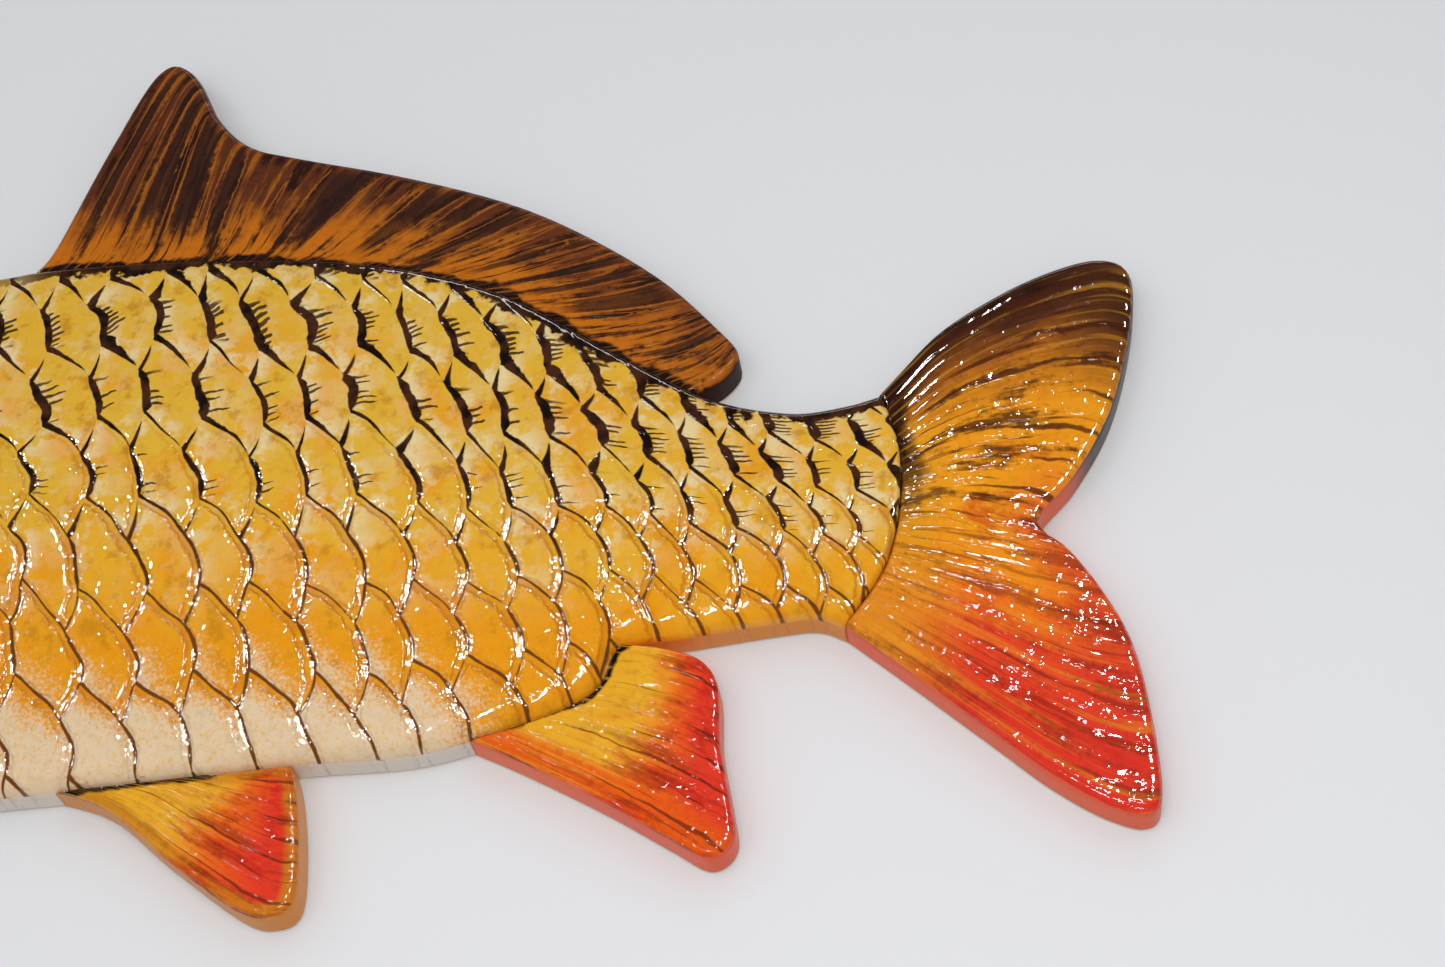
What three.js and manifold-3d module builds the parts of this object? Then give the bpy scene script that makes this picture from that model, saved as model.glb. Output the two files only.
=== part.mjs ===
// A carved, painted and varnished wooden carp to hang on a wall.
//
// The trunk and its five fins are cut from flat board and joined edge to edge with
// glued dowels. The trunk's front is crowned, its back is flat. Two D rings swing in
// pockets cut into the back, so that the plaque hangs flat against the wall.
//
// Millimetres, +Z up. The front looks along -Y and the head points along -X. Shapes are
// drawn on a flat sheet, x from the snout to the tail, y up and z towards the front.
// One turned group stands that sheet upright and puts the origin midway between the
// two hooks, on the plane of the back.

import * as THREE from 'three';
import { mergeVertices } from 'three/addons/utils/BufferGeometryUtils.js';
import Module from 'manifold-3d';

const wasm = await Module();
wasm.setup();

// ---------- the fish ----------
const LENGTH = 600;            // snout to the tail tips
const HEIGHT = 324;            // top of the dorsal fin to the lowest fin tip
const FIN_THICKNESS = 11;      // board that the fins are cut from
const TRUNK_STEP = 1;          // how far the trunk's rim stands proud of the fins
const TRUNK_CROWN = 20;        // thickness of the trunk along its middle
const TAIL_ROOT_CROWN = 14.5;  // thickness of the trunk's middle where the tail joins
const SEAM_GAP = 0.3;          // glue line between the trunk and a fin

// ---------- dowels ----------
const DOWEL_DIAMETER = 6;
const DOWEL_DEPTH = 12;        // how deep a dowel goes into each piece
const TAIL_DOWEL_DEPTH = 18;
const DOWEL_CLEARANCE = 0.3;   // round the dowel and past each end

// ---------- glass eye ----------
const EYE_DIAMETER = 14;
const EYE_HEIGHT = 4;
const EYE_SEAT = 14;           // height of the eye socket's floor above the back
const IRIS_THICKNESS = 0.8;
const IRIS_RIM = 1;            // how much smaller the iris is than the glass, each side

// ---------- hangers ----------
const HANGER_SPACING = 180;    // between the middles of the two rings
const HOOK_HEIGHT = 48;        // hooks above the fish's middle line
const BALANCE_X = 282;         // snout to the point midway between the hooks
const RING_WIRE = 2.5;
const RING_INNER_WIDTH = 17;
const RING_INNER_HEIGHT = 13;
const STRAP_WIDTH = 11;
const STRAP_LENGTH = 30;       // from the ring's bar to the strap's end
const STRAP_THICKNESS = 1;
const PIVOT_CLEARANCE = 0.35;  // round the ring's bar, inside the strap's loop
const POCKET_MARGIN = 3;       // room round the ring and the strap
const HOOK_ROOM = 7;           // room above the ring for the hook
const POCKET_DEPTH = 6.2;

// ---------- screws and pads ----------
const SCREW_SHANK = 3;
const SCREW_HEAD = 6.4;
const SCREW_HEAD_HEIGHT = 1.6;
const SCREW_LENGTH = 9;        // under the head
const SCREW_PITCH = 12;        // between the two screws of a strap
const SCREW_CLEARANCE = 0.3;
const PAD_DIAMETER = 16;
const PAD_THICKNESS = 1;
const REST_GAP = 0.3;          // between a piece and the face it rests on

const ROUND = 20;              // sides of a round piece

// The pattern is drawn on a sheet of this size, then enlarged to LENGTH and HEIGHT.
const SHEET_LENGTH = 600;
const SHEET_HEIGHT = 324;
const place = ([x, y]) => new THREE.Vector2(x * LENGTH / SHEET_LENGTH, y * HEIGHT / SHEET_HEIGHT);

// A smooth line through hand-picked points of the pattern, about one step per `step` mm.
function line(points, step = 7) {
  const curve = new THREE.SplineCurve(points.map(place));
  return curve.getPoints(Math.max(6, Math.round(curve.getLength() / step)));
}

// Joins lines end to end into one closed outline and drops points that coincide.
function outline(...lines) {
  const points = lines.flat();
  return points.filter((p, i) => p.distanceTo(points[(i + 1) % points.length]) > 0.05);
}

// ---------- pattern of the trunk ----------
const backLine = line([[0, -10], [2, -2], [9, 8], [24, 22], [52, 42], [98, 64], [150, 81], [200, 91], [240, 97],
  [290, 99], [344, 96], [390, 83], [433, 57], [462, 41], [488, 35], [505, 37], [517, 41]]);
const tailSeam = line([[517, 41], [523, 22], [524, 0], [520, -21], [509, -40]]);
const bellyLine = line([[0, -10], [2, -18], [9, -26], [24, -32], [50, -43], [90, -61], [140, -80], [190, -93],
  [236, -99], [275, -96], [315, -91], [349, -86], [381, -83], [400, -78], [423, -70], [437, -61],
  [443, -47], [463, -43], [490, -38], [501, -37], [509, -40]]);
const trunkOutline = outline(backLine, tailSeam, [...bellyLine].reverse());

// ---------- patterns of the fins: the free edge first, then a root inside the trunk ----------
const finPatterns = {
  dorsal_fin: {
    edge: [[222, 93], [230, 104], [239, 141], [248, 175], [254, 187], [261, 188], [269, 180], [279, 163],
      [293, 150], [312, 144], [349, 135], [386, 123], [414, 109], [443, 89], [464, 68], [471, 58],
      [467, 49], [457, 42]],
    root: [[430, 40], [380, 70], [300, 80], [235, 80]],
  },
  tail_fin: {
    edge: [[515, 40], [523, 51], [535, 66], [553, 80], [570, 89], [584, 93], [593, 89], [595, 76],
      [592, 53], [586, 31], [576, 11], [566, -4], [575, -14], [584, -27], [592, -43], [597, -64],
      [600, -91], [596, -99], [584, -96], [569, -87], [555, -76], [526, -53], [508, -39]],
    root: [[505, -20], [505, 20]],
  },
  anal_fin: {
    edge: [[443, -46], [455, -47], [467, -51], [473, -60], [475, -78], [479, -95], [481, -108], [474, -114],
      [462, -108], [442, -97], [417, -85], [398, -77]],
    root: [[405, -60], [432, -48]],
  },
  pelvic_fin: {
    edge: [[347, -85], [351, -95], [355, -113], [356, -129], [350, -134], [339, -132], [314, -116],
      [293, -101], [272, -95]],
    root: [[285, -85], [335, -78]],
  },
  pectoral_fin: {
    edge: [[193, -93], [200, -108], [206, -123], [207, -133], [200, -138], [187, -135], [161, -117],
      [139, -98], [117, -70]],
    root: [[135, -65], [180, -80]],
  },
};

// Each dowel crosses a seam: which fin it holds, which line of the trunk the seam follows,
// and where along x (or, for the tail, along y) the dowel sits.
const dowelPlaces = [
  { fin: 'dorsal_fin', seam: backLine, x: 266, depth: DOWEL_DEPTH },
  { fin: 'dorsal_fin', seam: backLine, x: 335, depth: DOWEL_DEPTH },
  { fin: 'dorsal_fin', seam: backLine, x: 404, depth: DOWEL_DEPTH },
  { fin: 'tail_fin', seam: tailSeam, y: 22, depth: TAIL_DOWEL_DEPTH },
  { fin: 'tail_fin', seam: tailSeam, y: -21, depth: TAIL_DOWEL_DEPTH },
  { fin: 'anal_fin', seam: bellyLine, x: 425, depth: DOWEL_DEPTH },
  { fin: 'anal_fin', seam: bellyLine, x: 440, depth: DOWEL_DEPTH },
  { fin: 'pelvic_fin', seam: bellyLine, x: 313, depth: DOWEL_DEPTH },
  { fin: 'pelvic_fin', seam: bellyLine, x: 338, depth: DOWEL_DEPTH },
  { fin: 'pectoral_fin', seam: bellyLine, x: 158, depth: DOWEL_DEPTH },
  { fin: 'pectoral_fin', seam: bellyLine, x: 180, depth: DOWEL_DEPTH },
];

// ---------- sizes worked out from the ones above ----------
const trunkRim = FIN_THICKNESS + TRUNK_STEP;
const hookHeight = HOOK_HEIGHT * HEIGHT / SHEET_HEIGHT;
const balanceX = BALANCE_X * LENGTH / SHEET_LENGTH;
const wireRadius = RING_WIRE / 2;
const loopRadius = wireRadius + PIVOT_CLEARANCE + STRAP_THICKNESS;
const barDrop = RING_INNER_HEIGHT + wireRadius;       // from the hook down to the ring's bar
const barDepth = POCKET_DEPTH - REST_GAP - loopRadius; // from the back plane to the bar
const hangerXs = { head: balanceX - HANGER_SPACING / 2, tail: balanceX + HANGER_SPACING / 2 };
const EYE = place([62, 21]);
const PADS = [[110, -25], [255, -70], [470, 0], [275, 78]].map(place);

// ---------- solids ----------
function solid(geometry) {
  const bare = geometry.clone();
  bare.deleteAttribute('normal');
  bare.deleteAttribute('uv');
  const merged = mergeVertices(bare, 1e-4);
  return new wasm.Manifold(new wasm.Mesh({
    numProp: 3,
    vertProperties: new Float32Array(merged.attributes.position.array),
    triVerts: new Uint32Array(merged.index.array),
  }));
}

function geometryOf(manifold) {
  const { vertProperties, triVerts } = manifold.getMesh();
  const geometry = new THREE.BufferGeometry();
  geometry.setAttribute('position', new THREE.BufferAttribute(new Float32Array(vertProperties), 3));
  geometry.setIndex(new THREE.BufferAttribute(new Uint32Array(triVerts), 1));
  geometry.computeVertexNormals();
  return geometry;
}

// A board cut to an outline, its back on the sheet and its front `thickness` above it.
function board(points, thickness) {
  return new THREE.ExtrudeGeometry(new THREE.Shape(points), { depth: thickness, bevelEnabled: false });
}

// The same outline, `distance` further out all round. The trunk's outline runs clockwise.
function grown(points, distance) {
  return points.map((point, i) => {
    const before = points[(i + points.length - 1) % points.length];
    const after = points[(i + 1) % points.length];
    const along = after.clone().sub(before).normalize();
    return new THREE.Vector2(point.x - along.y * distance, point.y + along.x * distance);
  });
}

// A round bar of the given radius and length, lying in the sheet's plane.
function lyingBar(radius, length, seat) {
  const geometry = new THREE.CylinderGeometry(radius, radius, length, ROUND);
  geometry.rotateZ(seat.angle - Math.PI / 2);
  geometry.translate(seat.x, seat.y, FIN_THICKNESS / 2);
  return geometry;
}

// A round hole or peg square to the sheet, from one height to another.
function standingBar(radius, at, from, to) {
  const geometry = new THREE.CylinderGeometry(radius, radius, to - from, ROUND);
  geometry.rotateX(Math.PI / 2);
  geometry.translate(at.x, at.y, (from + to) / 2);
  return geometry;
}

function box(at, width, height, from, to) {
  const geometry = new THREE.BoxGeometry(width, height, to - from);
  geometry.translate(at.x, at.y, (from + to) / 2);
  return geometry;
}

// ---------- the trunk's crowned front ----------
// Height of a line of the pattern at x, read between its nearest points.
function heightOf(curve, x) {
  const next = curve.findIndex((p) => p.x >= x);
  if (next <= 0) return next === 0 ? curve[0].y : curve[curve.length - 1].y;
  const [a, b] = [curve[next - 1], curve[next]];
  return THREE.MathUtils.mapLinear(x, a.x, b.x, a.y, b.y);
}

// The front is highest along the middle of the fish and falls to the rim at its back and
// belly. It thins towards the tail root, and rises from the snout over the head.
function frontHeight(x, y) {
  const top = heightOf(backLine, x);
  const bottom = heightOf(bellyLine, x);
  const across = THREE.MathUtils.clamp((2 * y - top - bottom) / (top - bottom + 0.01), -1, 1);
  const towardsTail = THREE.MathUtils.smoothstep(x, LENGTH * 0.5, LENGTH * 0.86);
  const crown = THREE.MathUtils.lerp(TRUNK_CROWN, TAIL_ROOT_CROWN, towardsTail) - trunkRim;
  const overHead = Math.sqrt(THREE.MathUtils.clamp(x / (LENGTH * 0.15), 0, 1));
  return trunkRim + crown * overHead * (1 - across * across) ** 0.7;
}

function crownedBlock() {
  const length = LENGTH * 0.9;
  const geometry = new THREE.BoxGeometry(length, HEIGHT, 2, 44, 26, 1);
  geometry.translate(length / 2 - 4, 0, 0);
  const position = geometry.attributes.position;
  for (let i = 0; i < position.count; i += 1) {
    const isFront = position.getZ(i) > 0;
    position.setZ(i, isFront ? frontHeight(position.getX(i), position.getY(i)) : -1);
  }
  return solid(geometry);
}

// ---------- dowels ----------
// The seam's point nearest a dowel's place, and the direction square to the seam there.
function dowelSeat({ seam, x, y }) {
  const off = (p) => (x === undefined
    ? Math.abs(p.y - y * HEIGHT / SHEET_HEIGHT)
    : Math.abs(p.x - x * LENGTH / SHEET_LENGTH));
  const nearest = seam.reduce((best, p, i) => (off(p) < off(seam[best]) ? i : best), 0);
  const i = THREE.MathUtils.clamp(nearest, 1, seam.length - 2);
  const along = seam[i + 1].clone().sub(seam[i - 1]);
  return { x: seam[i].x, y: seam[i].y, angle: along.angle() + Math.PI / 2 };
}

const dowels = dowelPlaces.map((dowel) => ({ ...dowel, seat: dowelSeat(dowel) }));
const dowelHoles = (list) => list.map(({ seat, depth }) => solid(
  lyingBar(DOWEL_DIAMETER / 2 + DOWEL_CLEARANCE, 2 * (depth + DOWEL_CLEARANCE), seat),
));

// ---------- hanger pockets ----------
const screwDrops = [STRAP_LENGTH - SCREW_PITCH - SCREW_HEAD / 2 - 1, STRAP_LENGTH - SCREW_HEAD / 2 - 1];

function hangerCuts(x) {
  const bar = new THREE.Vector2(x, hookHeight - barDrop);
  const top = hookHeight + RING_WIRE + HOOK_ROOM;
  const bottom = bar.y - STRAP_LENGTH - POCKET_MARGIN;
  const width = RING_INNER_WIDTH + 2 * RING_WIRE + 2 * POCKET_MARGIN;
  const middle = new THREE.Vector2(x, (top + bottom) / 2);
  const pocket = solid(box(middle, width, top - bottom, -1, POCKET_DEPTH));
  const pilots = screwDrops.map((drop) => solid(standingBar(
    SCREW_SHANK / 2 + SCREW_CLEARANCE,
    new THREE.Vector2(x, bar.y - drop),
    POCKET_DEPTH - 1,
    POCKET_DEPTH + SCREW_LENGTH,
  )));
  return [pocket, ...pilots];
}

// ---------- pieces ----------
function trunk() {
  const socket = solid(standingBar(EYE_DIAMETER / 2 + REST_GAP, EYE, EYE_SEAT, TRUNK_CROWN + 10));
  const cuts = [
    ...dowelHoles(dowels),
    ...Object.values(hangerXs).flatMap(hangerCuts),
    socket,
  ];
  const blank = solid(board(trunkOutline, TRUNK_CROWN + 10)).intersect(crownedBlock());
  return cuts.reduce((body, cut) => body.subtract(cut), blank);
}

function fin(name) {
  const { edge, root } = finPatterns[name];
  const blank = solid(board(outline(line(edge, 5), root.map(place)), FIN_THICKNESS));
  const seam = solid(board(grown(trunkOutline, SEAM_GAP), FIN_THICKNESS + 2).translate(0, 0, -1));
  const holes = dowelHoles(dowels.filter((dowel) => dowel.fin === name));
  return holes.reduce((piece, hole) => piece.subtract(hole), blank.subtract(seam));
}

// A glass dome, flat behind, and the painted disc that shows through it.
function eyeGlass() {
  const profile = [new THREE.Vector2(0, 0)];
  for (let i = 0; i <= 8; i += 1) {
    const angle = (i / 8) * (Math.PI / 2);
    profile.push(new THREE.Vector2(
      i === 8 ? 0 : (EYE_DIAMETER / 2) * Math.cos(angle),
      EYE_HEIGHT * (0.2 + 0.8 * Math.sin(angle)),
    ));
  }
  profile.splice(1, 0, new THREE.Vector2(EYE_DIAMETER / 2, 0));
  return new THREE.LatheGeometry(profile, ROUND + 4).rotateX(Math.PI / 2);
}

const eyeIris = () => new THREE.CylinderGeometry(
  EYE_DIAMETER / 2 - IRIS_RIM,
  EYE_DIAMETER / 2 - IRIS_RIM,
  IRIS_THICKNESS,
  ROUND + 4,
).rotateX(Math.PI / 2);

// A D of round wire in the sheet's plane, its straight bar along x through the pivot.
function ring() {
  const half = RING_INNER_WIDTH / 2 + wireRadius;
  const height = RING_INNER_HEIGHT + RING_WIRE;
  const shoulder = height * 0.45;
  const points = [[-half * 0.7, 0], [-half * 0.35, 0], [0, 0], [half * 0.35, 0], [half * 0.7, 0],
    [half, shoulder * 0.3], [half, shoulder], [half * 0.72, height * 0.86], [0, height],
    [-half * 0.72, height * 0.86], [-half, shoulder], [-half, shoulder * 0.3]];
  const path = new THREE.CatmullRomCurve3(points.map(([x, y]) => new THREE.Vector3(x, y, 0)), true);
  return new THREE.TubeGeometry(path, 56, wireRadius, 10, true);
}

// The strap is folded round the ring's bar: a flat tongue below a round loop. Seen from
// the side, x is up the wall and y is out of the pocket, and the pivot is the origin.
function strap() {
  const side = new THREE.Shape();
  side.moveTo(0, -loopRadius);
  side.absarc(0, 0, loopRadius, -Math.PI / 2, Math.PI * 0.85, false);
  side.lineTo(-loopRadius - 0.5, -loopRadius + STRAP_THICKNESS);
  side.lineTo(-STRAP_LENGTH, -loopRadius + STRAP_THICKNESS);
  side.lineTo(-STRAP_LENGTH, -loopRadius);
  side.closePath();
  const eye = new THREE.Path();
  eye.absarc(0, 0, wireRadius + PIVOT_CLEARANCE, 0, Math.PI * 2, true);
  side.holes.push(eye);
  const depth = STRAP_WIDTH;
  const geometry = new THREE.ExtrudeGeometry(side, { depth, bevelEnabled: false, curveSegments: 10 });
  geometry.translate(0, 0, -STRAP_WIDTH / 2);
  // side x -> sheet y, side y -> towards the back, side z -> sheet x
  geometry.applyMatrix4(new THREE.Matrix4().set(
    0, 0, -1, 0,
    1, 0, 0, 0,
    0, -1, 0, 0,
    0, 0, 0, 1,
  ));
  const holes = screwDrops.map((drop) => solid(standingBar(
    SCREW_SHANK / 2 + SCREW_CLEARANCE,
    new THREE.Vector2(0, -drop),
    0,
    2 * loopRadius,
  )));
  return holes.reduce((piece, hole) => piece.subtract(hole), solid(geometry));
}

// A round-headed wood screw, its head's underside at the origin and its point towards +z.
function screw() {
  const shank = SCREW_SHANK / 2;
  const head = SCREW_HEAD / 2;
  const tip = SCREW_LENGTH - 2 * REST_GAP - SCREW_CLEARANCE;
  return new THREE.LatheGeometry([
    new THREE.Vector2(0, -tip),
    new THREE.Vector2(shank, -tip + SCREW_SHANK),
    new THREE.Vector2(shank, 0),
    new THREE.Vector2(head, 0),
    new THREE.Vector2(head, SCREW_HEAD_HEIGHT * 0.4),
    new THREE.Vector2(head * 0.7, SCREW_HEAD_HEIGHT * 0.85),
    new THREE.Vector2(0, SCREW_HEAD_HEIGHT),
  ], ROUND).rotateX(-Math.PI / 2);
}

const pad = () => new THREE.CylinderGeometry(PAD_DIAMETER / 2, PAD_DIAMETER / 2, PAD_THICKNESS, ROUND + 4)
  .rotateX(Math.PI / 2);

// ---------- finishes ----------
const finish = (color, roughness, metalness = 0) => (
  new THREE.MeshStandardMaterial({ color, roughness, metalness })
);

const colours = {
  trunk: () => finish(0xe0a436, 0.25),
  dorsal_fin: () => finish(0x6b3f1e, 0.3),
  tail_fin: () => finish(0xd9501f, 0.25),
  anal_fin: () => finish(0xe8622a, 0.25),
  pelvic_fin: () => finish(0xdf7a24, 0.25),
  pectoral_fin: () => finish(0xdf7a24, 0.25),
  beech: () => finish(0xd2ab78, 0.7),
  glass: () => finish(0xf4f2ea, 0.05),
  iris: () => finish(0xb9781c, 0.4),
  steel: () => finish(0xb8b6b0, 0.35, 1),
  brass: () => finish(0xc2a35a, 0.35, 1),
  felt: () => finish(0x5a4534, 0.95),
};

// ---------- the assembled plaque ----------
const sheet = new THREE.Group();

function add(name, shape, material, x = 0, y = 0, z = 0) {
  const geometry = shape.isBufferGeometry ? shape : geometryOf(shape);
  const mesh = new THREE.Mesh(geometry, material);
  mesh.name = name;
  mesh.position.set(x, y, z);
  sheet.add(mesh);
  return mesh;
}

add('trunk', trunk(), colours.trunk());
for (const name of Object.keys(finPatterns)) {
  add(name, fin(name), colours[name]());
}

add('eye_iris', eyeIris(), colours.iris(), EYE.x, EYE.y, EYE_SEAT + REST_GAP + IRIS_THICKNESS / 2);
add('eye_glass', eyeGlass(), colours.glass(), EYE.x, EYE.y, EYE_SEAT + 2 * REST_GAP + IRIS_THICKNESS);

dowels.forEach(({ fin: held, seat, depth }, i) => {
  const number = dowels.slice(0, i + 1).filter((dowel) => dowel.fin === held).length;
  const geometry = new THREE.CylinderGeometry(DOWEL_DIAMETER / 2, DOWEL_DIAMETER / 2, 2 * depth, ROUND);
  const peg = add(`dowel_${held}_${number}`, geometry, colours.beech(), seat.x, seat.y, FIN_THICKNESS / 2);
  peg.rotation.z = seat.angle - Math.PI / 2;
});

for (const [end, x] of Object.entries(hangerXs)) {
  const barY = hookHeight - barDrop;
  const strapFace = POCKET_DEPTH - 2 * REST_GAP - STRAP_THICKNESS;
  add(`ring_${end}`, ring(), colours.steel(), x, barY, barDepth);
  add(`strap_${end}`, strap(), colours.brass(), x, barY, barDepth);
  screwDrops.forEach((drop, i) => {
    add(`screw_${end}_${i + 1}`, screw(), colours.steel(), x, barY - drop, strapFace);
  });
}

PADS.forEach((at, i) => {
  add(`felt_pad_${i + 1}`, pad(), colours.felt(), at.x, at.y, -REST_GAP - PAD_THICKNESS / 2);
});

sheet.rotation.x = Math.PI / 2;
sheet.position.set(-balanceX, 0, -hookHeight);

const plaque = new THREE.Group();
plaque.add(sheet);

export default plaque;
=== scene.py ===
# %% [markdown]
# # A carved, painted and varnished carp
# The fish is cut from flat board: a crowned trunk and five flat fins, doweled edge to edge.
# Every scale and fin ray is carved, painted by hand and buried under thick gloss varnish.
# The packed frame comes first. Every outline below is read from it, so that the carved
# skins land exactly on the pieces they dress.

# %% Load the frame
import math
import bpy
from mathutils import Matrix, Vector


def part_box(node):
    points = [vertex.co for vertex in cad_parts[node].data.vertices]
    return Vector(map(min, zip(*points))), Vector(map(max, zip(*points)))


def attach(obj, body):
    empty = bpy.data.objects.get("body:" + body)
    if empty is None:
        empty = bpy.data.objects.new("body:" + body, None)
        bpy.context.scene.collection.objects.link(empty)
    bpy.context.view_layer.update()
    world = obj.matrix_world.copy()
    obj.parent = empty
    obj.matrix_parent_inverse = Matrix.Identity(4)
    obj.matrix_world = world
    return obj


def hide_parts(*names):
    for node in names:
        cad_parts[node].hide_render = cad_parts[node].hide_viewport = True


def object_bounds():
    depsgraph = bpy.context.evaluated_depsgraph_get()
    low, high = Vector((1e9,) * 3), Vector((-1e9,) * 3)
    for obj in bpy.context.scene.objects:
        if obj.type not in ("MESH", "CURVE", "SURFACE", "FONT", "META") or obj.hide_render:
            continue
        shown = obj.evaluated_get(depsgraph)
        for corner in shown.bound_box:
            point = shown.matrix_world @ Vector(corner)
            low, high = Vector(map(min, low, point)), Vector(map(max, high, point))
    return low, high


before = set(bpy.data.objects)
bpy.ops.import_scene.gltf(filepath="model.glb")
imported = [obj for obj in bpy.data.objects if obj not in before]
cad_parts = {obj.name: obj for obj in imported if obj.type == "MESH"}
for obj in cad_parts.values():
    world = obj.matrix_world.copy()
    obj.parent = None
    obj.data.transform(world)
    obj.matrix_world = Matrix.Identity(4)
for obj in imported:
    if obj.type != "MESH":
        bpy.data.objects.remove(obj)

from types import SimpleNamespace

import bpy
import numpy as np
from mathutils import Quaternion, Vector, geometry

cad_low, cad_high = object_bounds()
scene = bpy.context.scene
print("frame box in mm:", [round(1000 * v) for v in (*cad_low, *cad_high)])

# %% [markdown]
# ## A sheet to draw on
# A carver lays the fish out on a flat sheet, so the sums below do the same: x runs from the
# snout to the tail and y upwards from the middle line, in millimetres. Height is measured
# from the flat back. One pair of functions goes between that sheet and the frame's metres,
# scaled by the frame's own box, so that a longer or taller fish still fits.

# %% From sheet to frame and back
SHEET_LENGTH = 600.0
SHEET_TALL = 326.93
SHEET_LOWEST = -138.16
along_scale = (cad_high.x - cad_low.x) / SHEET_LENGTH
up_scale = (cad_high.z - cad_low.z) / SHEET_TALL


def to_frame(x, y, height):
    """Sheet millimetres to frame metres: the sheet stands upright and its front looks along -Y."""
    return np.stack([
        cad_low.x + x * along_scale,
        -height * 0.001,
        cad_low.z + (y - SHEET_LOWEST) * up_scale,
    ], axis=-1)


def to_sheet(points):
    """Frame metres to sheet x and y in millimetres, as two columns."""
    x = (points[:, 0] - cad_low.x) / along_scale
    y = (points[:, 2] - cad_low.z) / up_scale + SHEET_LOWEST
    return np.stack([x, y], axis=-1)


print("a sheet millimetre is", round(1000 * along_scale, 4), "by", round(1000 * up_scale, 4), "mm")

# %% [markdown]
# ## Outlines from the frame
# Each outline is the border of a piece's flat back. The helpers below cut a stretch out of
# such a line, smooth it, walk along it and measure how far the points of a grid lie from it.

# %% Read an outline from a piece's flat back
def read_all(items, field, kind=np.int32, width=1):
    """One field of every vertex, corner or face of a mesh, a row for each."""
    values = np.empty(len(items) * width, kind)
    items.foreach_get(field, values)
    return values.reshape(-1, width) if width > 1 else values


def back_loops(node):
    """Closed lines round a piece's flat back, longest first, running anticlockwise from the front.

    An edge that only one of the back's triangles has lies on a border, and those edges are
    chained end to end."""
    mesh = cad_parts[node].data
    points = read_all(mesh.vertices, "co", np.float32, 3)
    corners = read_all(mesh.loops, "vertex_index")
    keys, merged = np.unique(np.round(points * 1e5), axis=0, return_inverse=True)
    triangles = merged.reshape(-1)[corners].reshape(-1, 3)
    on_back = (np.abs(keys[triangles][:, :, 1]) < 1).all(axis=1)
    back = triangles[on_back]
    edges = np.concatenate([back[:, [0, 1]], back[:, [1, 2]], back[:, [2, 0]]])
    known = {(a, b) for a, b in edges.tolist()}
    following = {a: b for a, b in known if (b, a) not in known}
    loops = []
    while following:
        start, here = next(iter(following.items()))
        del following[start]
        chain = [start]
        while here != start:
            chain.append(here)
            here = following.pop(here)
        flat = to_sheet(keys[chain] * 1e-5)
        area = np.cross(flat, np.roll(flat, -1, axis=0)).sum() / 2
        loops.append((abs(area), flat if area > 0 else flat[::-1]))
    return [flat for area, flat in sorted(loops, key=lambda pair: -pair[0])]


def stretch(loop, start, end):
    """The part of a closed line from the point nearest one spot on to the point nearest another."""
    first = np.argmin(((loop - start) ** 2).sum(axis=1))
    last = np.argmin(((loop - end) ** 2).sum(axis=1))
    count = (last - first) % len(loop) + 1
    return loop[(first + np.arange(count)) % len(loop)]


def smooth_line(points, steps=12):
    """A Catmull-Rom curve through the points: each span is a cubic that takes its slope at
    both ends from the neighbouring points."""
    padded = np.concatenate([2 * points[:1] - points[1:2], points, 2 * points[-1:] - points[-2:-1]])
    before, start, end, after = padded[:-3], padded[1:-2], padded[2:-1], padded[3:]
    t = (np.arange(steps) / steps)[None, :, None]
    curve = 0.5 * (2 * start[:, None] + (end - before)[:, None] * t
                   + (2 * before - 5 * start + 4 * end - after)[:, None] * t ** 2
                   + (3 * start - before - 3 * end + after)[:, None] * t ** 3)
    return np.concatenate([curve.reshape(-1, 2), points[-1:]])


def along(line, share):
    """Points at the given shares of a line's length."""
    run = np.concatenate([[0], np.cumsum(np.hypot(*np.diff(line, axis=0).T))])
    where = np.asarray(share) * run[-1]
    return np.stack([np.interp(where, run, line[:, 0]), np.interp(where, run, line[:, 1])], axis=-1)


def distance_to(line, x, y):
    """Distance from each point of a grid to a line: the nearest of its straight steps."""
    best = np.full(x.shape, 1e9)
    for (ax, ay), (bx, by) in zip(line[:-1], line[1:]):
        dx, dy = bx - ax, by - ay
        t = np.clip(((x - ax) * dx + (y - ay) * dy) / max(dx * dx + dy * dy, 1e-9), 0, 1)
        best = np.minimum(best, (x - ax - t * dx) ** 2 + (y - ay - t * dy) ** 2)
    return np.sqrt(best)


def smooth_step(low, high, value):
    """0 below low, 1 above high and an S curve between."""
    t = np.clip((value - low) / (high - low), 0, 1)
    return t * t * (3 - 2 * t)


def wander(x, y, size, seed):
    """A smooth irregular field between about -1 and 1: five sine waves of random direction."""
    dice = np.random.default_rng(seed)
    total = np.zeros(np.shape(x))
    for _ in range(5):
        turn, phase, stretch_by = dice.uniform(0, 2 * np.pi, 2).tolist() + [dice.uniform(0.6, 1.5)]
        wave = (x * np.cos(turn) + y * np.sin(turn)) * 2 * np.pi / (size * stretch_by)
        total = total + np.sin(wave + phase)
    return total / 3


outlines = {name: back_loops(name) for name in
            ("trunk", "dorsal_fin", "tail_fin", "anal_fin", "pelvic_fin", "pectoral_fin")}
print("outline points:", {name: len(loops[0]) for name, loops in outlines.items()})

# %% [markdown]
# ## From a grid to a carved board
# Each piece is a grid of heights over the sheet, like a relief map. Its rim drops down a
# wall to a flat back, so the piece is one closed solid. A sculpting tool could do the same,
# but a formula keeps the carving and the painted lines in step. The surfaces that follow
# the pattern, such as the place of each scale, are stored on the mesh for the paint to read.

# %% Close a grid of heights into a solid board
WALL_STEPS = (0.8, 0.55, 0.3, 0.08, 0.0)


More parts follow.
